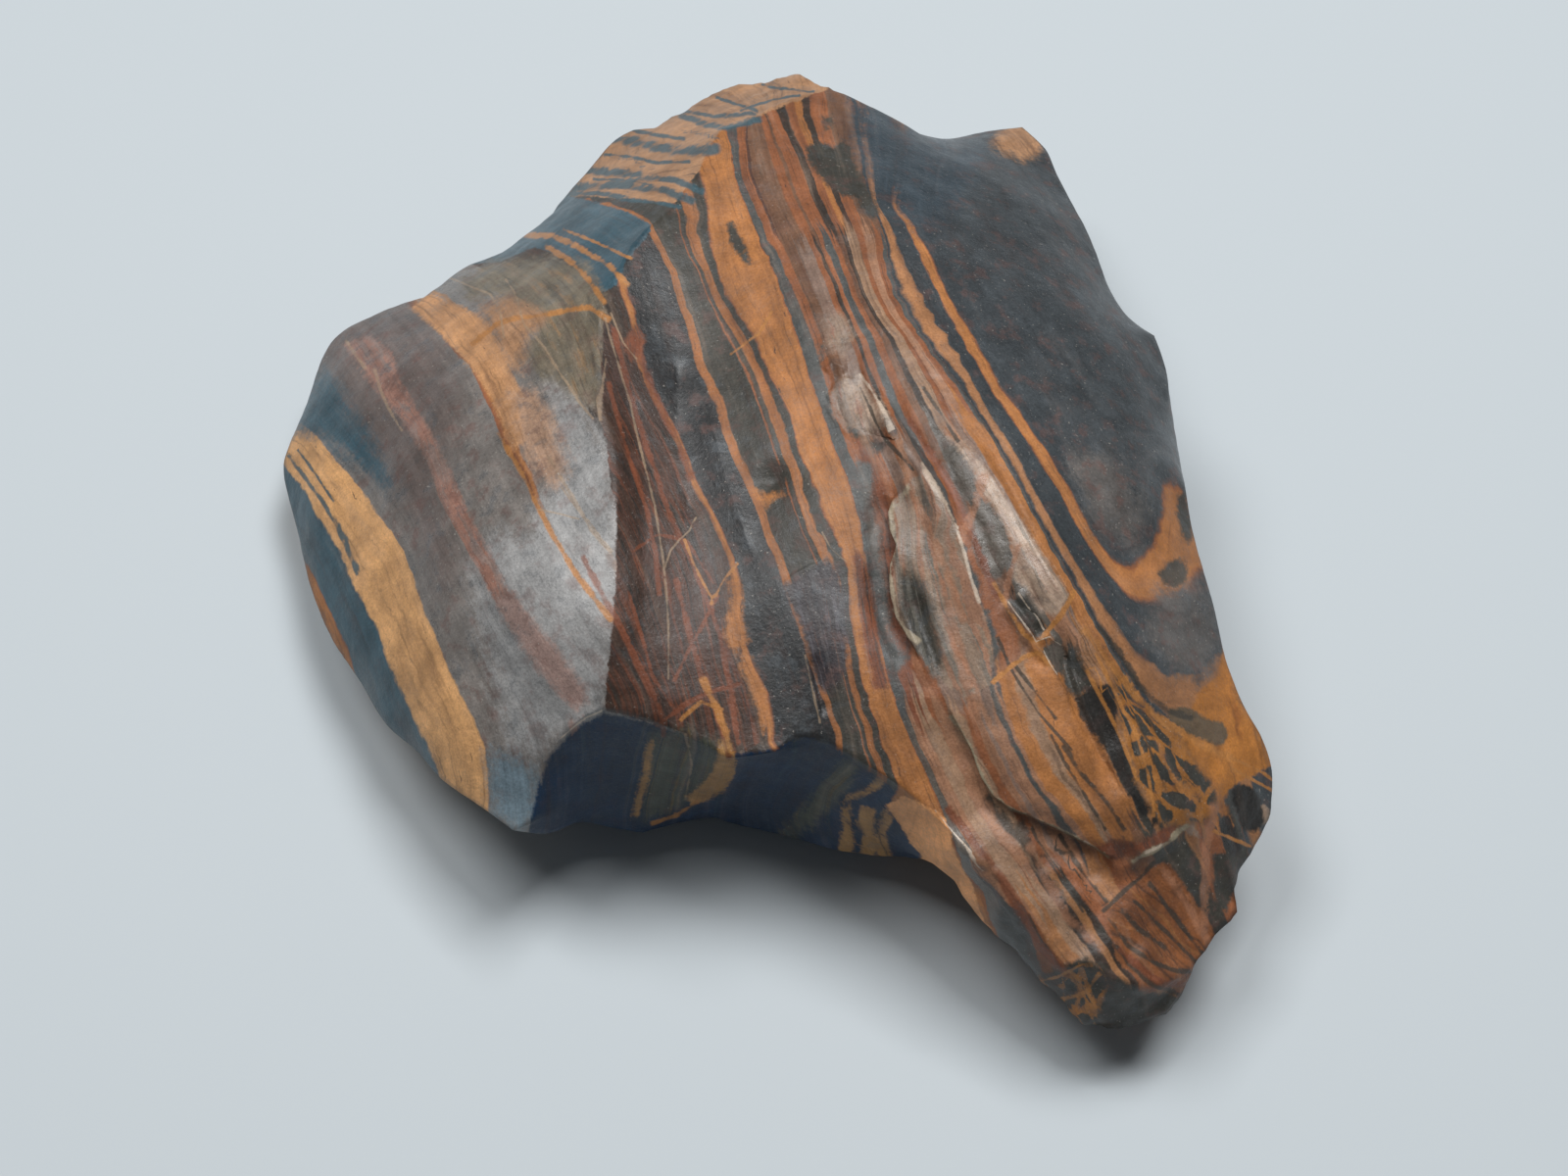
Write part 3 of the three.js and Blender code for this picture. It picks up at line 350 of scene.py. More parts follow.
# Patches that cover the banding, in the order in which they are laid: the rock, how soft the edge is in
# pixels, and the outlines that are seen.
PATCHES = {
    "far_iron": ("blue_iron", 34, [
        [(868, 100), (900, 108), (960, 135), (1003, 150), (992, 190), (962, 236), (940, 232), (912, 214),
         (900, 200), (885, 180), (872, 150)]]),
    "side_buff": ("buff", 2, [
        [(570, 200), (600, 170), (632, 136), (680, 110), (740, 84), (800, 70), (856, 82), (842, 93),
         (790, 112), (758, 125), (738, 130), (722, 152), (714, 172), (688, 208), (650, 204), (600, 200)]]),
    "side_teal": ("teal", 2, [
        [(480, 270), (545, 228), (575, 200), (600, 204), (640, 216), (666, 230), (656, 248), (640, 264),
         (630, 290), (612, 300), (596, 278), (575, 262), (545, 252), (510, 268)]]),
    # Painted shade on the outer, steeper part of the left face.
    "shaded_mottled": ("shaded_mottled", 50, [
        [(318, 330), (420, 296), (462, 350), (470, 420), (452, 500), (470, 580), (452, 610), (420, 540),
         (380, 480), (340, 440), (300, 430)]]),
    # Teal rock with a painted blue reflection of a floor where the left face steepens to its edge.
    "teal_corner_and_reflection": ("teal", 26, [
        [(290, 440), (300, 400), (330, 378), (350, 400), (400, 490), (392, 500), (350, 462), (328, 445)]]),
    "upper_split": ("split_gold", 7, [
        [(418, 314), (440, 298), (470, 312), (496, 330), (510, 352), (540, 420), (536, 452), (524, 460),
         (500, 404), (484, 380), (455, 346), (438, 328)],
        [(596, 342), (611, 346), (614, 374), (606, 386), (598, 366)],
        [(556, 470), (572, 466), (580, 488), (568, 496)]]),
    "yellow_face": ("buff", 26, [
        [(492, 318), (520, 300), (560, 296), (600, 306), (612, 330), (570, 330), (540, 345), (530, 380),
         (512, 370)]]),
    "olive_face": ("olive", 16, [
        [(470, 288), (500, 268), (560, 262), (600, 270), (614, 300), (616, 340), (615, 380), (612, 418),
         (598, 420), (580, 400), (562, 388), (548, 390), (540, 350), (560, 322), (520, 300), (480, 305)]]),
    # Painted sheen: the light that the left face reflects beside the ridge.
    "sheen_strip": ("sheen_grey", 34, [
        [(560, 395), (600, 425), (626, 470), (632, 540), (630, 600), (622, 690), (606, 734), (570, 748),
         (545, 770), (520, 760), (490, 640), (478, 580), (500, 545), (540, 540), (560, 500)]]),
    "red_streak": ("brick", 9, [
        [(352, 352), (375, 342), (398, 360), (408, 392), (426, 420), (444, 450), (476, 520), (494, 556),
         (527, 618), (544, 644), (566, 672), (588, 708), (562, 684), (520, 640), (492, 590), (480, 562),
         (450, 498), (436, 466), (420, 440), (378, 388)]]),
    "pink_face": ("pink_face", 24, [
        [(520, 400), (545, 400), (560, 420), (572, 450), (578, 480), (566, 496), (550, 488), (536, 462),
         (526, 430)]]),
    "pink_streak": ("pink_streak", 11, [
        [(508, 610), (526, 606), (550, 644), (574, 670), (594, 698), (600, 716), (588, 724), (570, 706),
         (552, 686), (530, 656)]]),
    # A painted blue reflection of a floor on the lower left tip.
    "tip_reflection": ("tip_blue_reflection", 26, [
        [(500, 768), (522, 772), (546, 790), (550, 835), (532, 852), (506, 835)]]),
    "first_zone": ("zone_brown", 2, [
        [(617, 325), (640, 345), (655, 385), (676, 430), (720, 530), (740, 572), (750, 600), (753, 650),
         (763, 690), (782, 752), (760, 768), (735, 768), (700, 748), (660, 737), (617, 724), (628, 600),
         (628, 530), (620, 455), (612, 425), (613, 380)]]),
    # Pale rock with painted sheen where the scoop catches the light.
    "scoop": ("pale", 16, [
        [(848, 402), (860, 386), (878, 384), (890, 400), (902, 420), (910, 438), (884, 446), (864, 438),
         (854, 422)], [(842, 326), (860, 322), (870, 345), (860, 360), (846, 350)]]),
    # The brightest painted sheen in the scoop.
    "scoop_sheen": ("cream_and_sheen", 14, [
        [(862, 392), (878, 388), (892, 408), (904, 432), (892, 430), (876, 412)]]),
    # Pale rock with painted sheen where the plate catches the light.
    "plate": ("pale", 4, [
        [(920, 506), (930, 492), (945, 482), (960, 506), (974, 534), (984, 556), (990, 585), (999, 612),
         (1010, 640), (1014, 668), (1010, 700), (985, 712), (966, 700), (948, 682), (932, 660), (920, 645),
         (911, 625), (908, 600), (910, 575), (914, 558), (906, 540), (907, 520)]]),
    "rib_grey": ("grey", 6, [
        [(958, 446), (975, 448), (992, 470), (996, 496), (984, 516), (972, 494)],
        [(996, 520), (1008, 512), (1022, 530), (1031, 552), (1030, 574), (1020, 592), (1006, 588),
         (992, 560)], [(1062, 662), (1074, 655), (1086, 664), (1089, 680), (1078, 688), (1068, 676)]]),
    # Cream rock with painted sheen where the rib catches the light.
    "rib": ("cream_and_sheen", 7, [
        [(968, 446), (984, 452), (1020, 500), (1078, 588), (1090, 610), (1080, 628), (1060, 624),
         (1046, 600), (1034, 590), (1036, 562), (1024, 530), (1008, 508), (996, 484), (980, 464)]]),
    "hollow": ("slate", 8, [
        [(874, 470), (890, 474), (900, 500), (900, 545), (914, 645), (926, 672), (912, 690), (900, 660),
         (890, 610), (880, 550), (876, 510)]]),
    "red_hollow": ("deep_red", 7, [
        [(892, 466), (902, 496), (903, 545), (909, 560), (906, 590), (911, 622), (930, 656), (920, 668),
         (906, 640), (900, 600), (895, 550), (889, 505)],
        [(868, 560), (880, 566), (890, 600), (896, 650), (908, 700), (892, 704), (880, 650), (874, 600)],
        [(1120, 866), (1135, 858), (1160, 862), (1200, 838), (1206, 848), (1190, 860), (1160, 872),
         (1140, 878), (1126, 876)],
        [(637, 345), (648, 332), (658, 345), (655, 358), (644, 366), (636, 358)]]),
    "violet": ("violet", 12, [
        [(797, 598), (812, 588), (845, 571), (860, 582), (866, 620), (864, 680), (852, 706), (835, 702),
         (822, 660)]]),
    # Painted highlights on the edges below the groove.
    "highlight_spots": ("pale", 4, [
        [(1200, 830), (1208, 826), (1226, 855), (1214, 852), (1204, 845)],
        [(1224, 812), (1230, 815), (1232, 830), (1226, 826)],
        [(1284, 822), (1296, 820), (1298, 838), (1288, 842)]]),
    "pool": ("orange", 4, [
        [(1205, 750), (1222, 706), (1240, 690), (1250, 655), (1264, 690), (1294, 745), (1303, 778),
         (1262, 800), (1244, 816), (1236, 796), (1216, 790)]]),
    "bar": ("bar", 4, [
        [(1190, 722), (1215, 722), (1228, 734), (1246, 738), (1253, 746), (1250, 757), (1242, 762),
         (1212, 750), (1196, 738)]]),
    "hook_grey": ("hook_grey", 30, [
        [(1178, 600), (1225, 590), (1240, 640), (1240, 690), (1200, 690), (1172, 650)],
        [(1090, 470), (1130, 460), (1170, 520), (1160, 560), (1120, 540)]]),
    "horn": ("buff", 14, [
        [(1012, 146), (1024, 132), (1041, 118), (1056, 128), (1064, 146), (1058, 160), (1044, 168),
         (1034, 158), (1024, 156)]]),
    "gold_spots": ("golden", 8, [
        [(744, 590), (752, 583), (758, 602), (757, 630), (762, 655), (752, 664), (744, 660), (738, 650),
         (742, 630), (748, 610)],
        [(768, 499), (782, 505), (796, 501), (802, 506), (788, 511), (782, 519), (775, 512)],
        [(756, 660), (766, 672), (780, 706), (788, 740), (780, 748), (768, 712), (756, 682)]]),
    # Dark rock, deepened by painted shade and a painted dark reflection in the dish of the plate.
    "lens": ("olive_black", 16, [
        [(918, 588), (928, 582), (942, 598), (952, 622), (960, 648), (965, 672), (962, 694), (950, 684),
         (926, 642), (918, 618)]]),
    # Dark rock, and painted shade in the small pits beside the scoop and on the deck.
    "dark_spots_and_pit_shade": ("olive_black", 6, [
        [(822, 150), (835, 146), (850, 151), (862, 143), (868, 150), (872, 165), (882, 185), (898, 214),
         (894, 224), (885, 219), (874, 203), (860, 202), (845, 190), (832, 176), (824, 162)],
        [(740, 228), (746, 226), (757, 243), (766, 266), (766, 274), (757, 266), (747, 250)],
        [(1203, 503), (1211, 503), (1218, 545), (1213, 555), (1206, 545), (1200, 520)],
        [(1182, 584), (1193, 574), (1206, 570), (1213, 580), (1210, 594), (1200, 600), (1188, 596)],
        [(1030, 612), (1046, 609), (1062, 630), (1070, 644), (1058, 652), (1046, 640), (1036, 626)],
        [(1188, 876), (1204, 870), (1216, 892), (1223, 922), (1212, 920), (1200, 900)],
        [(832, 350), (838, 350), (842, 366), (838, 374)], [(888, 452), (904, 450), (906, 458), (892, 464)],
        [(866, 438), (876, 438), (880, 446), (872, 450)],
        [(770, 472), (800, 476), (806, 488), (792, 494), (774, 486)],
        [(838, 118), (848, 118), (850, 130), (842, 132)], [(1262, 712), (1272, 712), (1272, 722)],
        [(1240, 872), (1262, 866), (1262, 905), (1252, 932), (1240, 926)]]),
    "shadow": ("olive_black", 10, [
        [(1088, 652), (1098, 660), (1106, 676), (1110, 696), (1104, 712), (1094, 706), (1086, 680)]]),
    "black_spots": ("black", 4, [
        [(1102, 712), (1118, 700), (1134, 698), (1142, 716), (1138, 738), (1146, 756), (1152, 778),
         (1160, 798), (1170, 820), (1174, 834), (1164, 832), (1152, 812), (1130, 770), (1106, 730)],
        [(1184, 755), (1200, 750), (1210, 766), (1212, 785), (1205, 790), (1192, 776)],
        [(1186, 785), (1195, 782), (1203, 796), (1206, 820), (1195, 818), (1188, 804)],
        [(1214, 810), (1223, 806), (1232, 822), (1228, 838), (1214, 832)],
        [(1172, 840), (1180, 830), (1184, 838), (1176, 846)], [(1160, 822), (1172, 820), (1174, 834)],
        [(1255, 808), (1263, 800), (1276, 802), (1286, 816), (1290, 840), (1282, 850), (1268, 846)],
        [(1246, 836), (1256, 832), (1268, 868), (1256, 874), (1246, 856)]]),
    # Painted shade with a painted blue reflection of a floor over the undercut front face.
    "undercut_shade": ("navy_shade", 5, [
        [(538, 852), (548, 808), (560, 772), (588, 744), (616, 726), (662, 738), (700, 750), (736, 770),
         (790, 766), (820, 752), (850, 760), (914, 806), (906, 826), (926, 846), (944, 872), (930, 885),
         (880, 880), (832, 866), (790, 866), (730, 848), (695, 850), (640, 850), (600, 856)]]),
    # Olive rock under painted shade and a painted blue reflection on the undercut face.
    "olive_front": ("shaded_olive", 18, [
        [(664, 750), (700, 744), (728, 754), (738, 775), (726, 800), (700, 822), (656, 836), (656, 795)],
        [(840, 800), (860, 776), (876, 782), (862, 806), (838, 832), (812, 856), (796, 850), (816, 826)]]),
    # Gold stripes of the undercut face, painted brighter as painted light where the face lies in shade.
    "under_gold": ("old_gold", 5, [
        [(743, 750), (751, 776), (748, 793), (738, 807), (722, 817), (704, 821), (699, 813), (714, 803),
         (727, 789), (733, 772), (734, 756)],
        [(858, 824), (868, 822), (868, 840), (873, 858), (868, 874), (855, 868), (860, 846)],
        [(878, 822), (892, 826), (889, 846), (896, 866), (889, 878), (877, 872), (882, 850), (875, 838)],
        [(902, 828), (912, 834), (904, 850), (908, 868), (912, 879), (897, 876), (896, 854)],
        [(902, 796), (898, 804), (880, 812), (858, 819), (866, 810), (884, 804), (894, 794)],
        [(660, 758), (668, 756), (664, 790), (652, 830), (644, 834), (654, 796)]]),
    # The bevel's orange, painted brighter as painted light where the bevel lies in shade.
    "bevel": ("bevel", 3, [
        [(905, 822), (925, 812), (945, 822), (962, 832), (970, 850), (992, 905), (1001, 935), (1008, 948),
         (1002, 956), (985, 930), (965, 902), (925, 855)]]),
    "net": ("olive_black", 10, [
        [(1138, 688), (1150, 690), (1164, 712), (1182, 734), (1204, 750), (1216, 766), (1222, 786),
         (1238, 800), (1238, 826), (1226, 840), (1204, 844), (1182, 838), (1168, 814), (1156, 784),
         (1146, 754)]]),
    "block": ("rust", 4, [
        [(1128, 940), (1140, 915), (1172, 886), (1192, 880), (1210, 905), (1236, 945), (1246, 975),
         (1236, 1000), (1205, 1012), (1170, 1004), (1140, 980)]]),
    "tip": ("olive_black", 8, [
        [(1046, 1002), (1075, 990), (1100, 978), (1125, 984), (1140, 996), (1165, 1012), (1205, 1014),
         (1246, 985), (1250, 1010), (1208, 1046), (1150, 1074), (1100, 1068), (1060, 1030)]]),
    "tip_net": ("olive_black", 14, [
        [(1048, 1002), (1078, 990), (1104, 984), (1124, 992), (1130, 1016), (1112, 1050), (1082, 1052)]]),
}
# The patches in which gold threads part dark cells: how far from a cell's edge a thread starts and is full.
THREADED = {"net": (0.10, 0.03), "tip_net": (0.02, -0.03)}

# Noise drawn out along the beds: how fine across the beds and along them, and where it is taken from.
STRANDS = {
    "broad": (0.07, 0.06, 0), "fine": (0.33, 0.10, 0), "dash": (0.42, 0.40, 0), "band": (0.14, 0.07, 5),
    "other_band": (0.16, 0.08, 11), "blotch": (0.09, 0.18, 17), "other_blotch": (0.13, 0.20, 23),
    "hair": (0.55, 0.07, 29),
}
# Streaks inside some of the patches: the strand, the noise where they start and where they are full, how
# opaque they are, and their colour.
STREAKS = {
    "first_zone": [
        ("band", 0.48, 0.62, 0.6, (0.170, 0.052, 0.024)),
        ("fine", 0.56, 0.68, 0.35, (0.100, 0.056, 0.035)),
        ("other_blotch", 0.52, 0.60, 0.75, (0.020, 0.020, 0.018)),
        ("hair", 0.63, 0.70, 0.4, (0.260, 0.110, 0.045))],
    "red_streak": [
        ("blotch", 0.46, 0.60, 0.75, (0.215, 0.170, 0.150)),
        ("fine", 0.54, 0.64, 0.5, (0.120, 0.050, 0.035))],
    "plate": [
        ("band", 0.47, 0.58, 0.8, (0.145, 0.132, 0.110)),
        ("other_band", 0.51, 0.59, 0.75, (0.330, 0.160, 0.095))],
    "rib": [
        ("blotch", 0.48, 0.60, 0.7, (0.270, 0.165, 0.115)),
        ("other_blotch", 0.54, 0.64, 0.6, (0.150, 0.140, 0.118))],
    "scoop": [
        ("blotch", 0.48, 0.60, 0.7, (0.150, 0.120, 0.100)),
        ("other_blotch", 0.54, 0.62, 0.6, (0.300, 0.130, 0.080))],
    "olive_face": [
        ("blotch", 0.54, 0.66, 0.6, (0.260, 0.150, 0.070)),
        ("other_blotch", 0.52, 0.62, 0.6, (0.090, 0.080, 0.062))],
    "violet": [
        ("blotch", 0.52, 0.64, 0.7, (0.088, 0.078, 0.088)),
        ("hair", 0.60, 0.68, 0.6, (0.200, 0.080, 0.040))],
    # Blue blotches of the painted reflection on the shaded undercut face.
    "undercut_shade": [("blotch", 0.56, 0.68, 0.6, (0.020, 0.050, 0.072))],
    # The dark blue blotches are painted reflection on the shaded face; the gold blotches are the rock's
    # own.
    "olive_front": [
        ("blotch", 0.54, 0.62, 0.7, (0.170, 0.110, 0.034)),
        ("other_blotch", 0.50, 0.60, 0.7, (0.012, 0.030, 0.045))],
    "pool": [
        ("blotch", 0.54, 0.68, 0.7, (0.250, 0.085, 0.022)),
        ("band", 0.56, 0.66, 0.6, (0.480, 0.230, 0.060))],
    "red_hollow": [
        ("other_blotch", 0.50, 0.60, 0.7, (0.060, 0.040, 0.032)),
        ("fine", 0.60, 0.68, 0.6, (0.270, 0.110, 0.055))],
    "lens": [("band", 0.54, 0.64, 0.7, (0.150, 0.140, 0.115))],
}

# Thin lines that cross the banding, in the order in which they are laid: the colour, how opaque, and each
# line's half width in pixels with the places where it is seen.
LINES = {
    "slate_lines": ((0.046, 0.04, 0.032), 0.85, [
        (1.4, [(1020, 655), (1030, 680), (1045, 705), (1060, 728), (1090, 762)]),
        (1.6, [(1040, 685), (1075, 730)]),
        (2.4, [(1090, 768), (1102, 788), (1115, 802), (1130, 820), (1143, 840)]),
        (1.6, [(1075, 755), (1085, 775), (1125, 842)]),
        (3.0, [(1128, 648), (1145, 670), (1160, 695), (1175, 712), (1192, 726), (1205, 730)]),
        (1.5, [(1150, 700), (1178, 745)]), (1.5, [(1160, 735), (1170, 755), (1176, 775)]),
        (4.0, [(1015, 828), (1030, 845), (1048, 862)]), (6.0, [(1050, 864), (1060, 884), (1090, 932)]),
        (1.6, [(1070, 876), (1086, 902), (1102, 926)]), (1.5, [(1056, 852), (1098, 912)]),
        (1.8, [(1085, 862), (1126, 916)]), (1.8, [(1130, 926), (1150, 906), (1165, 894), (1174, 884)]),
        (1.8, [(1052, 940), (1064, 962), (1076, 980)]),
        (2.2, [(1136, 944), (1150, 964), (1172, 980), (1196, 990), (1216, 992)]),
        (2.6, [(1150, 936), (1162, 948), (1182, 962)]), (2.0, [(1162, 924), (1182, 942), (1220, 980)]),
        (2.0, [(1176, 906), (1212, 952), (1228, 974)]),
        (2.4, [(1128, 954), (1150, 980), (1172, 1002), (1196, 1012)]),
        (1.6, [(945, 400), (962, 425), (975, 446)]), (1.5, [(880, 400), (905, 452), (930, 478)])]),
    "rust_lines": ((0.18, 0.056, 0.026), 0.8, [
        (2.5, [(628, 345), (640, 395), (685, 530), (700, 560), (725, 620), (735, 650), (745, 700),
               (752, 750)]), (3.2, [(650, 356), (664, 396), (678, 425), (692, 450), (702, 478)]),
        (2.0, [(622, 400), (632, 440), (648, 490), (660, 520), (668, 560), (672, 600)]),
        (2.8, [(600, 578), (622, 622), (640, 655), (672, 720), (676, 740)]),
        (1.5, [(642, 610), (655, 650), (666, 690), (682, 715)]),
        (2.6, [(692, 600), (702, 640), (716, 690), (735, 740), (742, 765)]),
        (2.2, [(678, 735), (700, 718), (725, 706), (748, 700)]),
        (1.6, [(730, 612), (716, 640), (702, 665), (690, 690)]),
        (3.5, [(975, 835), (1025, 900), (1045, 935), (1060, 965), (1080, 986)]),
        (3.0, [(1150, 976), (1180, 1001), (1215, 1006)]),
        (1.6, [(650, 560), (670, 545), (700, 552), (725, 590)]),
        (3.5, [(935, 440), (955, 470), (972, 500), (986, 530), (1012, 596)])]),
    "salmon_lines": ((0.36, 0.165, 0.09), 0.6, [
        (4.0, [(932, 505), (948, 540), (965, 580), (978, 620)]),
        (4.5, [(966, 610), (976, 650), (984, 690), (992, 720)]),
        (3.0, [(920, 645), (932, 670), (945, 700)]), (4.0, [(986, 540), (994, 520), (1000, 500)]),
        (3.0, [(1026, 606), (1030, 586), (1036, 568)]), (4.0, [(1236, 836), (1232, 870), (1228, 930)]),
        (4.0, [(1196, 900), (1216, 930), (1236, 966)]), (5.0, [(1060, 880), (1085, 930), (1110, 955)])]),
    "gold_lines": ((0.4, 0.17, 0.045), 0.85, [
        (2.4, [(488, 346), (505, 332), (520, 326), (575, 318), (600, 313), (614, 322)]),
        (1.3, [(750, 578), (738, 592), (728, 613), (718, 596), (708, 576), (700, 555)]),
        (3.2, [(722, 703), (731, 722), (743, 756)]),
        (2.4, [(513, 450), (535, 488), (544, 508), (566, 550), (589, 587), (618, 627)]),
        (2.0, [(700, 730), (716, 716), (730, 722)]), (2.0, [(672, 838), (690, 832), (706, 822)]),
        (2.6, [(545, 240), (565, 241), (582, 248), (622, 271), (634, 284)]),
        (2.4, [(565, 256), (580, 265), (597, 281), (612, 302)]),
        (1.4, [(580, 236), (610, 248), (640, 262)]),
        (2.2, [(1018, 602), (1030, 625), (1045, 646), (1058, 657), (1084, 626), (1092, 610)]),
        (2.0, [(1018, 692), (1032, 680), (1046, 670), (1060, 666), (1070, 676)]),
        (1.5, [(750, 358), (775, 340), (785, 322)]),
        (2.0, [(1075, 1022), (1095, 1018), (1108, 1012), (1118, 1000)]),
        (1.6, [(1096, 996), (1108, 1010), (1116, 1022)]), (1.4, [(1058, 1000), (1082, 996), (1098, 988)]),
        (4.0, [(1116, 654), (1138, 684), (1162, 714), (1190, 738), (1222, 758), (1244, 768)]),
        (1.8, [(1112, 690), (1130, 724), (1146, 760), (1158, 790)]),
        (1.6, [(1120, 672), (1160, 750), (1174, 800), (1176, 828)]),
        (1.4, [(1262, 776), (1285, 786), (1300, 796)]), (1.4, [(1260, 786), (1298, 806)]),
        (1.6, [(1244, 850), (1272, 862)])]),
    "teal_lines": ((0.04, 0.085, 0.105), 0.9, [
        (1.8, [(298, 470), (328, 510), (342, 534), (362, 580)]),
        (1.2, [(306, 462), (322, 484), (338, 508)]), (2.2, [(344, 535), (352, 550), (362, 575)]),
        (4.5, [(624, 141), (650, 145), (668, 150), (690, 154), (716, 153)]),
        (1.8, [(650, 134), (670, 138), (692, 141)]),
        (1.5, [(622, 158), (645, 160), (668, 166), (698, 165)]),
        (3.6, [(594, 172), (615, 175), (640, 177)]),
        (2.8, [(648, 184), (670, 181), (690, 184), (708, 192)]),
        (3.6, [(580, 192), (635, 188), (655, 191)]), (2.2, [(574, 198), (600, 197), (632, 200)]),
        (3.4, [(655, 192), (678, 194), (696, 201)]), (1.8, [(640, 204), (665, 206), (688, 210)]),
        (3.0, [(704, 121), (720, 127), (742, 130), (765, 124)]),
        (1.8, [(700, 114), (730, 119), (764, 117)]), (1.4, [(735, 100), (768, 112)]),
        (1.3, [(782, 87), (802, 92), (826, 94)]), (1.3, [(610, 183), (640, 184), (660, 188)]),
        (1.2, [(760, 112), (790, 102), (812, 99)])]),
    "groove": ((0.29, 0.25, 0.17), 0.85, [
        (2.6, [(975, 740), (990, 765), (1000, 790), (1012, 814), (1032, 828), (1058, 838), (1080, 848),
               (1122, 871)]), (2.4, [(1164, 875), (1176, 866), (1192, 860), (1204, 848)])]),
    # Pale rock along the plate's left rim, brightened by a painted highlight.
    "lip": ((0.42, 0.35, 0.25), 0.85, [
        (3.6, [(918, 508), (909, 516), (906, 530), (910, 542)]),
        (2.0, [(910, 542), (913, 556), (909, 572), (908, 590), (914, 622)]),
        (3.0, [(914, 632), (920, 642), (928, 648)])]),
    "glints": ((0.6, 0.49, 0.385), 0.65, [
        (1.2, [(880, 385), (889, 398), (898, 414), (909, 438)]), (1.8, [(944, 482), (974, 536)]),
        (1.5, [(979, 548), (984, 562), (990, 585), (998, 610)]),
        (0.7, [(1030, 616), (1057, 655), (1070, 650), (1080, 657)]), (0.9, [(1041, 608), (1063, 640)]),
        (0.6, [(1066, 666), (1073, 678), (1079, 686)]), (0.6, [(955, 828), (975, 852), (1004, 884)]),
        (1.2, [(1110, 862), (1118, 868)]), (1.2, [(1172, 868), (1182, 863)]),
        (0.7, [(572, 754), (584, 743), (598, 732), (612, 725)])]),
    "veins": ((0.34, 0.24, 0.155), 0.55, [
        (1.0, [(618, 328), (635, 388), (643, 410), (648, 435), (668, 515), (677, 575), (680, 605),
               (682, 640), (682, 690)]), (0.8, [(624, 322), (636, 350), (648, 365)]),
        (0.8, [(678, 580), (684, 562), (694, 550), (704, 541), (709, 530)]),
        (1.0, [(518, 288), (526, 300), (535, 332), (545, 342), (556, 355), (572, 382), (582, 395),
               (592, 412), (605, 428)]), (1.0, [(462, 285), (500, 300), (510, 315), (514, 342)]),
        (1.2, [(617, 372), (612, 412), (614, 428)]),
        (1.2, [(383, 380), (388, 398), (396, 416), (408, 436)]), (1.4, [(356, 352), (370, 372)]),
        (1.0, [(575, 500), (588, 518), (604, 536), (620, 560)]),
        (0.8, [(550, 520), (570, 524), (590, 530)]), (1.8, [(562, 470), (605, 543), (620, 560)]),
        (1.2, [(700, 752), (706, 780), (700, 812)]), (1.0, [(822, 672), (836, 734)]),
        (0.8, [(840, 545), (848, 560), (862, 572)])]),
}


def along_polyline(x, y, corners, closed=False):
    """Distance to the line through the corners: plain, signed (plus on its right), and how far along it."""
    ring = corners + corners[:1] if closed else corners
    best = np.full(len(x), 1e9)
    signed = np.zeros(len(x))
    reach = np.zeros(len(x))
    start = 0.0
    for (ax, ay), (bx, by) in zip(ring, ring[1:]):
        dx, dy = bx - ax, by - ay
        length = math.hypot(dx, dy)
        share = ((x - ax) * dx + (y - ay) * dy) / length ** 2
        near = np.clip(share, 0, 1)
        distance = np.hypot(x - ax - near * dx, y - ay - near * dy)
        closer = distance < best - 1e-9
        offset = (dx * (y - ay) - dy * (x - ax)) / length
        best = np.where(closer, distance, best)
        signed = np.where(closer, offset, signed)
        reach = np.where(closer, start + near * length, reach)
        start += length
    return best, signed, reach


def is_inside(x, y, corners):
    """Whether each point lies inside the outline."""
    inside = np.zeros(len(x), bool)
    for (ax, ay), (bx, by) in zip(corners, corners[1:] + corners[:1]):
        crosses = (ay > y) != (by > y)
        height = by - ay if by != ay else 1e-9
        inside ^= crosses & (x < ax + (y - ay) / height * (bx - ax))
    return inside


# A mark fades by this many pixels for every millimetre that the stone lies behind what the eye sees there.
HIDDEN_FADE = 2.0
# Lines that are stored together lie at least this many pixels apart.
LINE_GAP = 22.0
# What is stored where no mark is near. Nothing counts as farther behind than this, either.
FAR = 60.0


def patch_depth(x, y, behind, outlines):
    """How deep inside the nearest of the outlines each point is, in pixels; negative outside."""
    result = np.full(len(x), -FAR)
    for corners in outlines:
        distance = along_polyline(x, y, corners, closed=True)[0]
        result = np.maximum(result, np.where(is_inside(x, y, corners), distance, -distance))
    return result - HIDDEN_FADE * behind


def line_place(x, y, behind, lines):
    """Place beside the nearest line, in half widths: signed distance, and true distance."""
    place = np.tile([FAR, FAR, 0.0], (len(x), 1))
    for half_width, corners in lines:
        distance, signed, _ = along_polyline(x, y, corners)
        distance = (distance + HIDDEN_FADE * behind) / half_width
        closer = distance < place[:, 1]
        place[closer, 0] = signed[closer] / half_width
        place[closer, 1] = distance[closer]
    return place


def gap(line, other):
    """The least distance between the corners of either line and the other line."""
    ways = ((line, other), (other, line))
    return min(along_polyline(*np.array(corners, float).T, target)[0].min() for corners, target in ways)


def line_slots(lines):
    """The lines in groups whose members lie well apart, so that none blurs another."""
    slots = []
    for line in lines:
        for slot in slots:
            if all(gap(line[1], other[1]) > LINE_GAP for other in slot):
                slot.append(line)
                break
        else:
            slots.append([line])
    return slots


# ---- The stone's mesh ----------------------------------------------------------------------------

# Edges between faces that meet at a greater angle stay sharp.
CREASE_ANGLE = math.radians(24)
# Shares of the way to the neighbours' middle, forth and back, so that the lump keeps its volume.
IRONING = (0.6, -0.62) * 12
# How often every face is divided in four.
DIVISIONS = 2
# Then the faces this near to a relief line are split again, round after round, in millimetres.
SPLIT_REACHES = (1.0, 0.35)


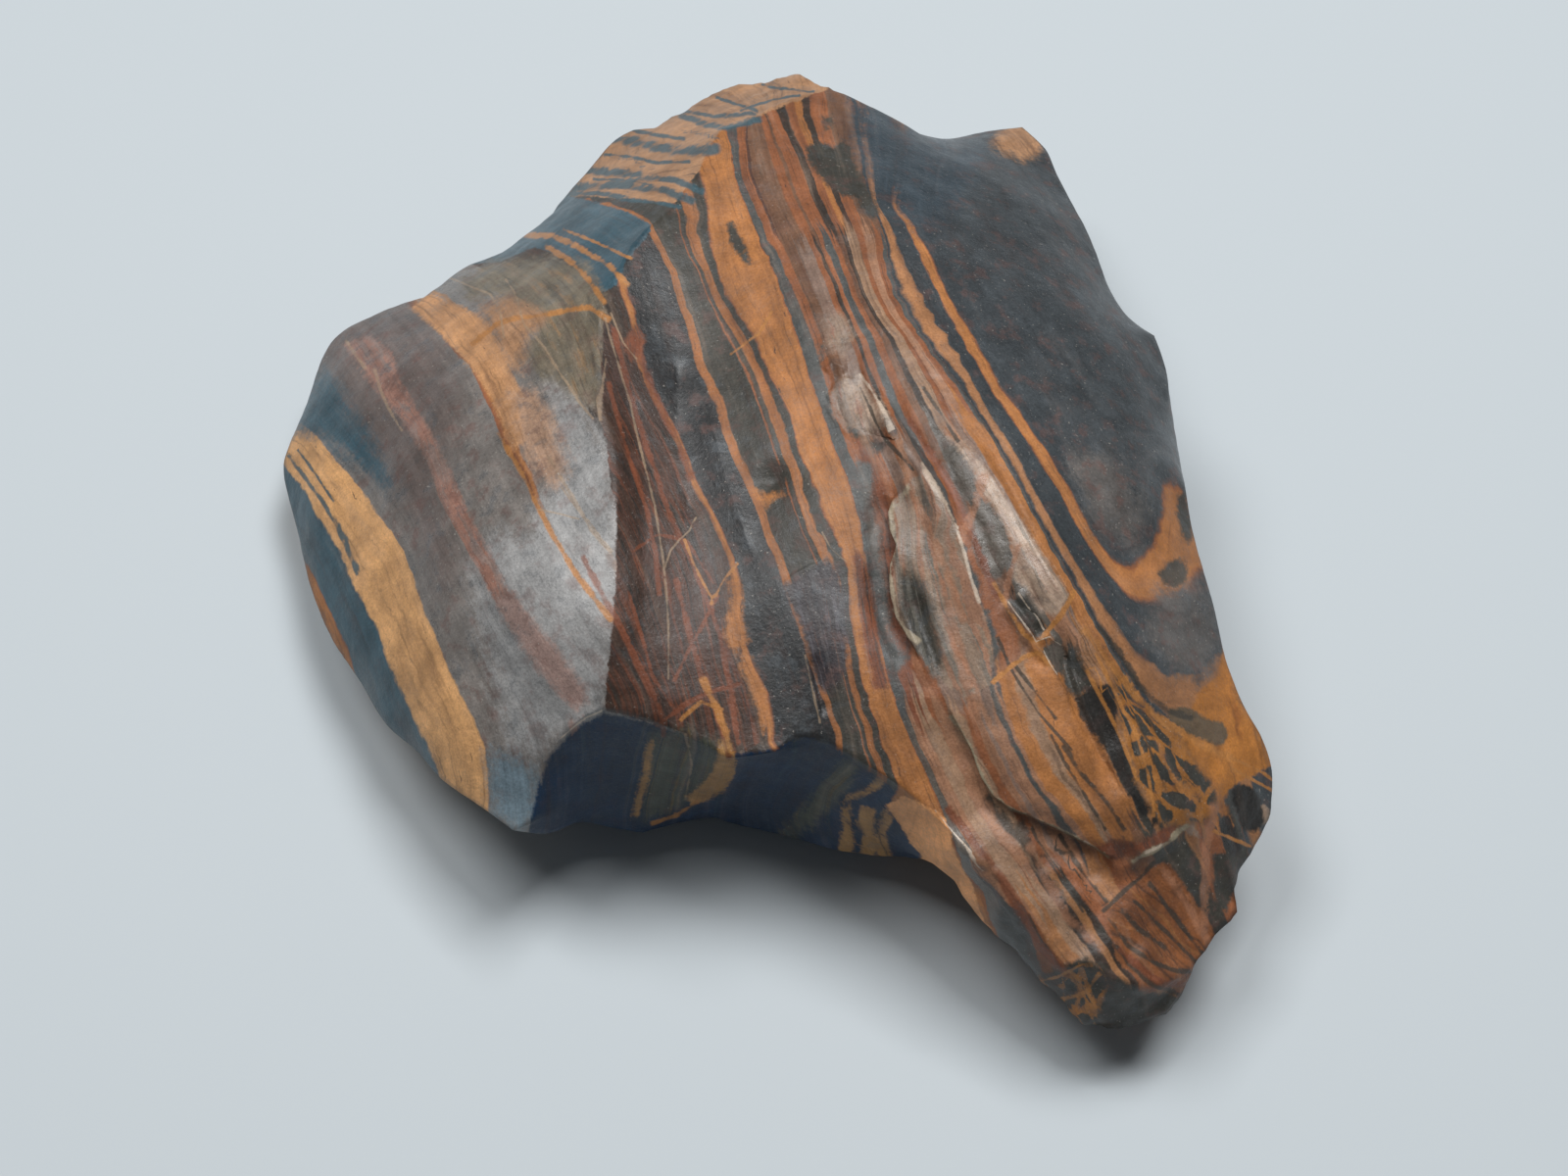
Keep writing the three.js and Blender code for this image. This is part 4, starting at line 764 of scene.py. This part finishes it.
def fine_mesh(node):
    """A finely divided copy of the node's mesh that keeps its sharp edges."""
    mesh = bmesh.new()
    mesh.from_mesh(node.data)
    bmesh.ops.remove_doubles(mesh, verts=mesh.verts, dist=1e-6)
    crease = mesh.edges.layers.float.new("crease_edge")
    sharp = [edge for edge in mesh.edges if edge.calc_face_angle(0.0) > CREASE_ANGLE]
    for edge in sharp:
        edge[crease] = 1.0
    iron_out(mesh, {vertex.index for edge in sharp for vertex in edge.verts})
    coarse = bpy.data.meshes.new("coarse")
    mesh.to_mesh(coarse)
    mesh.free()
    holder = bpy.data.objects.new("holder", coarse)
    bpy.context.scene.collection.objects.link(holder)
    holder.modifiers.new("divide", "SUBSURF").levels = DIVISIONS
    bpy.context.view_layer.update()
    fine = bpy.data.meshes.new_from_object(holder.evaluated_get(bpy.context.evaluated_depsgraph_get()))
    bpy.data.objects.remove(holder)
    bpy.data.meshes.remove(coarse)
    return fine


def iron_out(mesh, kept):
    """Takes the facets' waves out of the faces and leaves the kept vertices where they are."""
    places = np.array([vertex.co for vertex in mesh.verts])
    ends = np.array([[vertex.index for vertex in edge.verts] for edge in mesh.edges])
    count = np.bincount(ends.ravel(), minlength=len(places))[:, None]
    free = np.array([vertex.index not in kept for vertex in mesh.verts])
    for share in IRONING:
        total = np.zeros_like(places)
        np.add.at(total, ends[:, 0], places[ends[:, 1]])
        np.add.at(total, ends[:, 1], places[ends[:, 0]])
        places[free] += share * (total / count - places)[free]
    for vertex, place in zip(mesh.verts, places):
        vertex.co = place


def split_near_relief(mesh, reach):
    """Splits the upper faces that lie within reach, in millimetres, of a relief line."""
    x, y, _ = seen_at(vectors(mesh, "co") / MM)
    distance = np.full(len(x), 1e9)
    for line in [crest[0] for crest in CRESTS] + [lip[0] for lip in LIPS]:
        distance = np.minimum(distance, along_polyline(x, y, line)[0])
    near = (distance * PIXEL < reach) & (vectors(mesh, "normal")[:, 2] > 0)
    work = bmesh.new()
    work.from_mesh(mesh)
    edges = [edge for edge in work.edges if all(near[vertex.index] for vertex in edge.verts)]
    bmesh.ops.subdivide_edges(work, edges=edges, cuts=1, use_grid_fill=True)
    bmesh.ops.triangulate(work, faces=work.faces)
    work.to_mesh(mesh)
    work.free()


def vectors(mesh, name):
    """The place or the normal of every vertex, by its name in Blender: "co", in metres, or "normal"."""
    flat = np.empty(len(mesh.vertices) * 3, np.float32)
    mesh.vertices.foreach_get(name, flat)
    return flat.reshape(-1, 3).astype(float)


def store(mesh, name, values):
    """Keeps a number or a vector for every vertex, which the material reads by its name."""
    kind, field = ("FLOAT", "value") if values.ndim == 1 else ("FLOAT_VECTOR", "vector")
    attribute = mesh.attributes.new(name, kind, "POINT")
    attribute.data.foreach_set(field, values.astype(np.float32).ravel())


# ---- Nodes ---------------------------------------------------------------------------------------


class Value:
    """What a node puts out. Adding to it, or taking from, multiplying or dividing it, makes a new node."""

    def __init__(self, nodes, socket):
        self.nodes = nodes
        self.socket = socket

    def __add__(self, other):
        return self.nodes.math("ADD", self, other)

    def __sub__(self, other):
        return self.nodes.math("SUBTRACT", self, other)

    def __mul__(self, other):
        return self.nodes.math("MULTIPLY", self, other)

    def __truediv__(self, other):
        return self.nodes.math("DIVIDE", self, other)


class Nodes:
    """Short ways to add shader nodes to a material."""

    def __init__(self, material):
        self.tree = material.node_tree

    def put(self, socket, value):
        """Links a value to an input, or sets a constant there."""
        if isinstance(value, Value):
            self.tree.links.new(value.socket, socket)
        elif isinstance(value, tuple) and len(value) == 3 and socket.type == "RGBA":
            socket.default_value = (*value, 1)
        else:
            socket.default_value = value

    def make(self, kind, inputs, **settings):
        """A new node with its inputs by name or number."""
        node = self.tree.nodes.new(kind)
        for name, setting in settings.items():
            setattr(node, name, setting)
        for name, value in inputs.items():
            self.put(node.inputs[name], value)
        return node

    def add(self, kind, inputs, output=0, **settings):
        """What a new node puts out."""
        return Value(self, self.make(kind, inputs, **settings).outputs[output])

    def parts(self, kind, value):
        """The parts into which a node separates a colour or a vector."""
        return [Value(self, socket) for socket in self.make(kind, {0: value}).outputs]

    def attribute(self, name, output="Fac"):
        return self.add("ShaderNodeAttribute", {}, output, attribute_name=name)

    def math(self, operation, a, b):
        return self.add("ShaderNodeMath", {0: a, 1: b}, operation=operation)

    def dot(self, a, b):
        return self.add("ShaderNodeVectorMath", {0: a, 1: b}, "Value", operation="DOT_PRODUCT")

    def mix(self, share, a, b, blend="MIX"):
        return self.add("ShaderNodeMix", {0: share, 6: a, 7: b}, 2, data_type="RGBA", blend_type=blend)

    def both(self, share, looks, others):
        return [self.mix(share, a, b) for a, b in zip(looks, others)]

    def noise(self, vector, scale, detail, roughness=0.5):
        inputs = {"Vector": vector, "Scale": scale, "Detail": detail, "Roughness": roughness}
        return self.add("ShaderNodeTexNoise", inputs, "Fac")

    def vector(self, x, y, z=0.0):
        return self.add("ShaderNodeCombineXYZ", {0: x, 1: y, 2: z})

    def between(self, value, low, high, to_low=0.0, to_high=1.0):
        """A smooth step from to_low to to_high where the value goes from low to high."""
        inputs = dict(enumerate((value, low, high, to_low, to_high)))
        return self.add("ShaderNodeMapRange", inputs, interpolation_type="SMOOTHSTEP", clamp=False)

    def ramp(self, value, stops):
        node = self.make("ShaderNodeValToRGB", {0: value})
        elements = node.color_ramp.elements
        while len(elements) < len(stops):
            elements.new(0.5)
        for element, (place, colour) in zip(elements, stops):
            element.position = place
            element.color = (*colour, 1)
        return Value(self, node.outputs[0])


# A ramp has room for 32 stops, and each layer but the first takes two. It is stored as a table, so one that
# spans too many beds would lose its thin layers.
RAMP_LAYERS = 15
RAMP_SPAN = 160


def layered(nodes, bed, layers):
    """Colour and character for every bed, from as many ramps as the layers need."""
    parts = [[layers[0]]]
    for layer in layers[1:]:
        part = parts[-1]
        part.append(layer)
        if len(part) == RAMP_LAYERS or layer[0] - part[0][0] > RAMP_SPAN:
            parts.append([layer])
    if len(parts[-1]) == 1:
        parts.pop()
    result = None
    for part in parts:
        low, high = part[0][0] + EDGE / 2, part[-1][0] + EDGE
        stops = [(0, ROCKS[part[0][1]])]
        for (_, before), (place, after) in zip(part, part[1:]):
            for step, rock in ((-EDGE / 2, before), (EDGE / 2, after)):
                stops.append((max(0, (place + step - low) / (high - low)), ROCKS[rock]))
        share = (bed - low) / (high - low)
        looks = [nodes.ramp(share, [(stop, rock[0]) for stop, rock in stops]),
                 nodes.ramp(share, [(stop, rock[1:]) for stop, rock in stops])]
        if result is not None:
            looks = nodes.both(nodes.math("GREATER_THAN", bed, low), result, looks)
        result = looks
    return result


# ---- The stone's material ------------------------------------------------------------------------

# The way along the beds, seen from above.
ALONG = np.array([0.376, -0.927, 0.0])
# How far the beds wander, streak and fray, in beds.
WANDER = 7.0
STREAK = 7.0
FRAY = 2.2
# How far the edge of a sharp patch frays and streaks, in pixels, and how far a line frays, in half widths.
PATCH_FRAY = 5.0
PATCH_STREAK = 4.0
LINE_FRAY = 1.6
# Where a line fades beyond its sides and ends, in half widths.
LINE_REACH = (5.0, 3.5)
# Colours that are laid over all the rocks.
DARK_LINE = (0.030, 0.026, 0.024)
WASHED = (0.235, 0.165, 0.122)
STAIN = (0.110, 0.048, 0.030)
MAROON = (0.130, 0.066, 0.054)
DULL = (0.080, 0.092, 0.102)
GLINT = (0.40, 0.37, 0.33)
# The threads of the nets.
NET_GOLD = (0.38, 0.15, 0.03)
# The turned block at the near end: the way across its stripes, and their colours.
BLOCK_ACROSS = (-0.50, -0.86, 0.0)
BLOCK_DARK = (0.045, 0.026, 0.016)
BLOCK_RED = (0.230, 0.082, 0.026)
BLOCK_GOLD = (0.330, 0.150, 0.050)


def rock_texture(nodes, place, bed, along):
    """The rocks at a point: their colour and character, and the strands and the fraying of their edges."""
    wander = nodes.noise(place, 0.35, 3, 0.55) - 0.5
    streak = nodes.noise(nodes.vector(bed * 0.11, along * 0.22), 1.0, 4, 0.6) - 0.5
    fray = nodes.noise(place, 2.2, 4, 0.7) - 0.5
    edge = (bed + wander * WANDER) + (streak * STREAK + fray * FRAY)
    finger = nodes.noise(nodes.vector(edge * 0.13, along * 0.03), 1.0, 2, 0.6) - 0.5
    reach = along + finger * FINGERS

    strands = {}
    for name, (across, length, start) in STRANDS.items():
        where = nodes.vector(edge * across, along * length, start)
        strands[name] = nodes.noise(where, 1.0, 4, 0.62)
    base = layered(nodes, edge, with_rims(LAYERS))
    middle = layered(nodes, edge, MIDDLE_LAYERS[0][1])
    for start, layers in MIDDLE_LAYERS[1:]:
        beyond = nodes.between(reach, start - OVERLAP, start + OVERLAP)
        middle = nodes.both(beyond, middle, layered(nodes, edge, layers))
    within = nodes.math("GREATER_THAN", edge, MIDDLE[0]) * nodes.math("LESS_THAN", edge, MIDDLE[1])
    colour, character = nodes.both(within, base, middle)
    cells = cell_edges(nodes, place, edge, along)
    for name, (rock, softness, _) in PATCHES.items():
        depth = fray * (PATCH_FRAY + softness) + nodes.attribute(name) + streak * (PATCH_STREAK + softness)
        mask = nodes.between(depth, -softness / 2, softness / 2)
        colour = nodes.mix(mask, colour, ROCKS[rock][0])
        character = nodes.mix(mask, character, ROCKS[rock][1:])
        for strand, start, full, opacity, tint in STREAKS.get(name, ()):
            share = nodes.between(strands[strand], start, full, 0.0, opacity) * mask
            colour = nodes.mix(share, colour, tint)
        if name == "block":
            colour = nodes.mix(mask * 0.7, colour, block_stripes(nodes, place))
        if name in THREADED:
            threads = mask * nodes.between(cells, *THREADED[name])
            colour = nodes.mix(threads * 0.85, colour, NET_GOLD)
    return colour, character, strands, fray


def block_stripes(nodes, place):
    """Bent and uneven stripes of dark, red and gold."""
    bent = nodes.dot(place, BLOCK_ACROSS) * 0.75 + nodes.noise(place, 0.3, 3) * 1.2
    stripe = nodes.noise(nodes.vector(bent, bent * 0.1), 1.6, 3, 0.7)
    warm = nodes.mix(nodes.between(stripe, 0.38, 0.50), BLOCK_DARK, BLOCK_RED)
    return nodes.mix(nodes.between(stripe, 0.58, 0.66), warm, BLOCK_GOLD)


def cell_edges(nodes, place, edge, along):
    """Distance to the nearest edge of cells that are drawn out along the beds, less an uneven width."""
    inputs = {"Vector": nodes.vector(edge * 0.10, along * 0.45), "Scale": 1.0}
    distance = nodes.add("ShaderNodeTexVoronoi", inputs, "Distance", feature="DISTANCE_TO_EDGE")
    return distance - nodes.between(nodes.noise(place, 0.7, 3, 0.6), 0.35, 0.65, 0.0, 0.12)


def stone_material():
    material = bpy.data.materials.new("tiger_iron")
    material.use_nodes = True
    nodes = Nodes(material)
    shader = material.node_tree.nodes["Principled BSDF"]
    # A renderer works through the nodes in the order of their making, so each is made after what it needs.
    metres = nodes.add("ShaderNodeTexCoord", {}, "Object")
    place = nodes.add("ShaderNodeVectorMath", {0: metres, "Scale": 1 / MM}, operation="SCALE")
    along = nodes.dot(place, ALONG)
    colour, character, strands, fray = rock_texture(nodes, place, nodes.attribute("bed"), along)
    lamination, mottling, gloss = nodes.parts("ShaderNodeSeparateColor", character)

    broad, fine, dash = strands["broad"], strands["fine"], strands["dash"]
    mottle = nodes.noise(place, 0.6, 5, 0.65)
    cloud = nodes.noise(place, 0.22, 3, 0.6)
    swell = nodes.noise(place, 0.55, 4, 0.6)
    uneven = nodes.between(swell, 0.30, 0.48, 0.45, 1.0)
    speck = nodes.noise(place, 5.5, 3, 0.7)
    plainness = nodes.between(gloss, 0.5, 0.3)
    # Each tint: the noise, where it starts and where it is full, what it goes with, how opaque, its colour.
    tints = [
        (broad, 0.52, 0.70, lamination, 0.5, WASHED),
        (fine, 0.43, 0.33, lamination, 0.7, DARK_LINE),
        (broad, 0.46, 0.30, lamination, 0.6, STAIN),
        (dash, 0.655, 0.70, plainness, 0.8, DARK_LINE),
        (mottle, 0.52, 0.66, mottling, 0.5, MAROON),
        (mottle, 0.47, 0.33, mottling, 0.45, DULL),
    ]
    for source, start, full, partner, opacity, tint in tints:
        share = nodes.between(source, start, full) * partner
        colour = nodes.mix(share * opacity, colour, tint)

    shift = fray * LINE_FRAY
    width = nodes.between(swell, 0.32, 0.62, 0.55, 1.35)
    for name, (line_colour, opacity, lines) in LINES.items():
        mask = 0.0
        for number in range(len(line_slots(lines))):
            mask = nodes.math("MAXIMUM", line_mask(nodes, f"{name}_{number}", shift, width), mask)
        colour = nodes.mix(mask * uneven * opacity, colour, line_colour)

    shade = nodes.between(broad, 0.2, 0.8, 0.82, 1.18) * nodes.between(speck, 0.25, 0.75, 0.83, 1.17)
    shade *= nodes.between(swell, 0.3, 0.7, 0.84, 1.16)
    shade *= nodes.between(cloud, 0.3, 0.7, 0.85, 1.12)
    shade *= nodes.between(fine, 0.25, 0.75, 0.90, 1.10)
    grey = nodes.add("ShaderNodeCombineColor", {0: shade, 1: shade, 2: shade})
    colour = nodes.mix(1.0, colour, grey, "MULTIPLY")
    glints = nodes.between(nodes.noise(place, 4.5, 2, 0.5), 0.66, 0.76)
    colour = nodes.mix(glints * (mottling * 0.6), colour, GLINT)
    nodes.put(shader.inputs["Base Color"], colour)
    roughness = nodes.between(gloss, 0.0, 1.0, 0.52, 0.29)
    roughness += nodes.between(speck, 0.3, 0.7, -0.05, 0.08)
    roughness += nodes.between(mottle, 0.3, 0.7, -0.04, 0.06)
    nodes.put(shader.inputs["Roughness"], roughness)
    shader.inputs["IOR"].default_value = 1.46
    relief = fine * 0.25 + nodes.noise(place, 2.6, 7, 0.62)
    bump = nodes.add("ShaderNodeBump", {"Strength": 0.4, "Distance": 0.00014, "Height": relief})
    nodes.put(shader.inputs["Normal"], bump)
    return material


def line_mask(nodes, name, shift, width):
    """Where a group of lines lies: within width of the place to which the shift moves each line."""
    signed, distance, _ = nodes.parts("ShaderNodeSeparateXYZ", nodes.attribute(name, "Vector"))
    offset = nodes.math("ABSOLUTE", signed + shift, 0.0)
    body = nodes.between(offset - width, 0.5, -0.5)
    return body * nodes.between(distance, *LINE_REACH)


# ---- Relief --------------------------------------------------------------------------------------


def smooth_step(low, high, value):
    share = np.clip((value - low) / (high - low), 0, 1)
    return share * share * (3 - 2 * share)


def ripple(points, size, seed):
    """Smooth noise from about -1 to 1 with features of the given size in millimetres."""
    shift = np.array([17.3, 5.1, 9.7]) * seed
    return 1.6 * np.array([noise.noise(Vector(place)) for place in points / size + shift])


# Crests: the line as it is seen, its height, and how far it spreads to the left and to the right as it is
# walked, in millimetres.
CRESTS = [
    ([(617, 330), (613, 380), (612, 425), (620, 455), (626, 490), (628, 530), (628, 600), (624, 650),
      (618, 700), (610, 722), (590, 735)], 0.55, 2.2, 3.5),
    ([(880, 385), (895, 408), (908, 432), (922, 455), (938, 478), (952, 500), (966, 526), (978, 548),
      (984, 562), (990, 585), (998, 612), (1006, 640), (1012, 665)], 0.55, 1.2, 2.0),
    ([(966, 438), (985, 458), (1003, 478), (1020, 500), (1036, 528), (1052, 556), (1070, 586),
      (1088, 616), (1096, 640)], 0.3, 1.2, 2.4),
    ([(1026, 612), (1042, 634), (1056, 655)], 0.25, 0.5, 0.9),
    ([(1040, 602), (1052, 620), (1064, 640)], 0.22, 0.5, 0.8),
    ([(1056, 655), (1068, 649), (1080, 655)], 0.2, 0.5, 0.6),
    ([(720, 410), (732, 450), (742, 490), (757, 530), (768, 570)], 0.35, 1.2, 2.0),
    ([(840, 380), (850, 372), (866, 378)], 0.3, 0.8, 0.8),
    ([(965, 845), (980, 862), (1003, 885), (1022, 912), (1038, 940)], 0.35, 1.0, 1.5),
]

# Lips: the line as it is seen, the drop on its left as it is walked, over what width it falls and how far
# out it is made up again, in millimetres. A drop below nothing is a rise.
LIPS = [
    ([(925, 498), (912, 508), (906, 522), (907, 540), (914, 556), (909, 575), (907, 592), (909, 612),
      (915, 632), (925, 648), (934, 662), (944, 680)][::-1], 0.75, 0.22, 2.2),
    ([(880, 385), (862, 382), (848, 390), (842, 405), (850, 425), (862, 440), (880, 446), (900, 444)],
     -0.15, 0.4, 2.5),
    ([(1083, 645), (1095, 682), (1106, 714), (1121, 752), (1138, 786), (1152, 815)][::-1], 0.45, 0.3, 3.0),
    ([(962, 705), (976, 735), (991, 765), (1002, 795), (1014, 813), (1032, 825), (1060, 837), (1085, 849),
      (1108, 861), (1130, 871), (1155, 879)][::-1], 0.6, 0.35, 3.0),
    ([(845, 570), (828, 578), (812, 586), (797, 598)][::-1], 0.12, 0.4, 3.0),
    ([(822, 668), (830, 700), (838, 735)], 0.25, 0.25, 2.0),
]

# Dishes: the outline as it is seen, the depth and how far in it is reached, in millimetres.
DISHES = [
    ([(915, 580), (930, 575), (948, 610), (962, 660), (968, 690), (950, 690), (930, 650), (918, 620)],
     0.55, 1.2),
    ([(985, 515), (1010, 530), (1025, 565), (1020, 590), (1000, 570)], 0.3, 1.0),
    ([(1040, 650), (1056, 662), (1076, 680), (1068, 690), (1048, 676)], 0.25, 0.5),
]


def crest_relief(x, y):
    """How far the crests stand out, in millimetres."""
    relief = np.zeros(len(x))
    for corners, height, left, right in CRESTS:
        distance, signed, place = along_polyline(x, y, corners)
        width = np.where(signed > 0, right, left)
        relief += height * end_taper(corners, place) * np.clip(1 - distance * PIXEL / width, 0, 1)
    return relief


def lip_relief(x, y):
    """How far the rock drops below the lips, in millimetres, as a number below nothing."""
    relief = np.zeros(len(x))
    for corners, drop, width, reach in LIPS:
        distance, signed, place = along_polyline(x, y, corners)
        out = -signed * PIXEL
        fall = smooth_step(0, width, out) * (1 - smooth_step(width, reach, out))
        relief -= np.where(distance * PIXEL < reach, drop * end_taper(corners, place) * fall, 0)
    return relief


def dish_relief(x, y):
    """How far the dishes are sunk, in millimetres, as a number below nothing."""
    relief = np.zeros(len(x))
    for corners, depth, slope in DISHES:
        distance = along_polyline(x, y, corners, closed=True)[0] * PIXEL
        relief -= depth * np.where(is_inside(x, y, corners), smooth_step(0, slope, distance), 0)
    return relief


def end_taper(corners, place):
    """Falls to nothing over the last fifth at each end of a line."""
    length = sum(math.dist(a, b) for a, b in zip(corners, corners[1:]))
    share = place / length
    return smooth_step(0, 0.2, share) * (1 - smooth_step(0.8, 1, share))


# The rough beds: where they begin, from smooth to fully rough, and where they end.
ROUGH_FROM = (846, 868)
ROUGH_TO = (1005, 1025)
# Ribs run along the beds. They are this long in millimetres and this wide in beds, and they wander.
RIB_LENGTH = 14
RIB_WIDTH = 9
RIB_WANDER = 0.8
# How tall the ribs are everywhere, and what the rough beds add, in millimetres.
RIB_HEIGHT = 0.015
ROUGH_HEIGHT = 0.07
# The grain everywhere, and the breaks near the tip: the height, the size and the seed of each ripple.
GRAIN = ((0.09, 3.2, 4), (0.05, 1.3, 5))
BREAKS = ((0.20, 2.4, 6), (0.12, 1.1, 7))
# The share of the grain that smooth beds have.
SMOOTH_GRAIN = 0.4
# The broken tip, and how far from it the breaks begin to fade and have faded, in millimetres.
TIP = np.array([27.0, -37.0, 10.0])
TIP_FADE = (8, 22)
# The skin grows out of the plain foot of the stone over this height, in millimetres.
FOOT = (0.0, 3.0)
# A mark fades where the stone lies this far behind what the eye sees there, in millimetres.
BEHIND_FADE = (0.3, 1.5)


def relief_at(points, bed, x, y, behind):
    """How far the skin stands out, in millimetres: ribs, grain and breaks, and the marks that are seen."""
    drift = points @ ALONG / RIB_LENGTH + RIB_WANDER * ripple(points, 9, 1)
    beds = np.column_stack([bed / RIB_WIDTH, drift, np.zeros(len(bed))])
    rough = smooth_step(*ROUGH_FROM, bed) * (1 - smooth_step(*ROUGH_TO, bed))
    ribs = ripple(beds, 1.0, 2) + 0.5 * ripple(beds * 2.1, 1.0, 3)
    near_tip = 1 - smooth_step(*TIP_FADE, np.linalg.norm(points - TIP, axis=1))
    grain, breaks = (sum(height * ripple(points, size, seed) for height, size, seed in ripples)
                     for ripples in (GRAIN, BREAKS))
    relief = (RIB_HEIGHT + ROUGH_HEIGHT * rough) * ribs + near_tip * breaks
    relief += grain * (SMOOTH_GRAIN + (1 - SMOOTH_GRAIN) * rough)
    relief *= smooth_step(*FOOT, points[:, 2])
    marks = crest_relief(x, y) + lip_relief(x, y) + dish_relief(x, y)
    return relief + marks * (1 - smooth_step(*BEHIND_FADE, behind))


# A point counts as seen up to this far behind what the eye meets first, in millimetres.
SEEN = 0.1
# The share of the room up to the top of the part's box that the relief may take. On steep faces the room is
# worked out as if their normals rose by LEAST_RISE.
HEADROOM = 0.7
LEAST_RISE = 0.2


def add_stone():
    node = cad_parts["stone"]
    mesh = fine_mesh(node)
    for reach in SPLIT_REACHES:
        split_near_relief(mesh, reach)
    mesh.name = "tiger_iron"
    points = vectors(mesh, "co") / MM
    normals = vectors(mesh, "normal")
    faces = [tuple(face.vertices) for face in mesh.polygons]
    tree = BVHTree.FromPolygons([Vector(point) for point in points], faces)
    bed = bed_at(points, tree)
    x, y, distance = seen_at(points)
    eye = Vector(EYE)
    first = np.array([tree.ray_cast(eye, Vector(point) - eye)[3] or 1e9 for point in points])
    behind = np.clip(distance - first, 0, FAR)
    behind[behind < SEEN] = 0
    relief = relief_at(points, bed, x, y, behind)
    low, high = (np.array(corner) / MM for corner in CAD_BOX)
    room = (high[2] - points[:, 2]) / np.maximum(normals[:, 2], LEAST_RISE)
    relief = np.minimum(relief, HEADROOM * room)
    points = np.clip(points + normals * relief[:, None], low, high)
    mesh.vertices.foreach_set("co", (points * MM).astype(np.float32).ravel())
    mesh.update()
    store(mesh, "bed", bed)
    for name, (_, _, outlines) in PATCHES.items():
        store(mesh, name, patch_depth(x, y, behind, outlines))
    for name, (_, _, lines) in LINES.items():
        for number, slot in enumerate(line_slots(lines)):
            store(mesh, f"{name}_{number}", line_place(x, y, behind, slot))
    mesh.materials.clear()
    mesh.materials.append(stone_material())
    mesh.polygons.foreach_set("use_smooth", [True] * len(mesh.polygons))
    stone = bpy.data.objects.new("tiger_iron", mesh)
    bpy.context.scene.collection.objects.link(stone)
    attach(stone, "root")
    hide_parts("stone")


# ---- Floor and light -----------------------------------------------------------------------------

FLOOR_SIZE = 4
FLOOR_COLOUR = (0.53, 0.58, 0.61, 1)
FLOOR_ROUGHNESS = 0.7
LIGHT_DISTANCE = 0.6
# Each softbox: the direction it stands in, its size and its power.
SOFTBOXES = {
    "key": ((0.19, 0.24, 0.95), 0.22, 2.6),
    "side": ((-0.34, 0.20, 0.92), 0.22, 1.5),
}
# The even light from all around: its colour and its strength.
FILL_COLOUR = (0.9, 0.95, 1.0, 1)
FILL = 0.08


def add_floor():
    bpy.ops.mesh.primitive_plane_add(size=FLOOR_SIZE)
    floor = bpy.context.object
    floor.name = "floor"
    material = bpy.data.materials.new("floor")
    material.use_nodes = True
    shader = material.node_tree.nodes["Principled BSDF"]
    shader.inputs["Base Color"].default_value = FLOOR_COLOUR
    shader.inputs["Roughness"].default_value = FLOOR_ROUGHNESS
    floor.data.materials.append(material)


def add_lights():
    for name, (direction, size, power) in SOFTBOXES.items():
        data = bpy.data.lights.new(name, "AREA")
        data.size = size
        data.energy = power
        light = bpy.data.objects.new(name, data)
        towards = Vector(direction).normalized()
        light.location = towards * LIGHT_DISTANCE
        light.rotation_euler = towards.to_track_quat("Z", "Y").to_euler()
        bpy.context.scene.collection.objects.link(light)
    world = bpy.data.worlds.new("studio")
    world.use_nodes = True
    background = world.node_tree.nodes["Background"]
    background.inputs["Color"].default_value = FILL_COLOUR
    background.inputs["Strength"].default_value = FILL
    bpy.context.scene.world = world
    bpy.context.scene.view_settings.view_transform = "Standard"


add_camera()
add_stone()
add_floor()
add_lights()
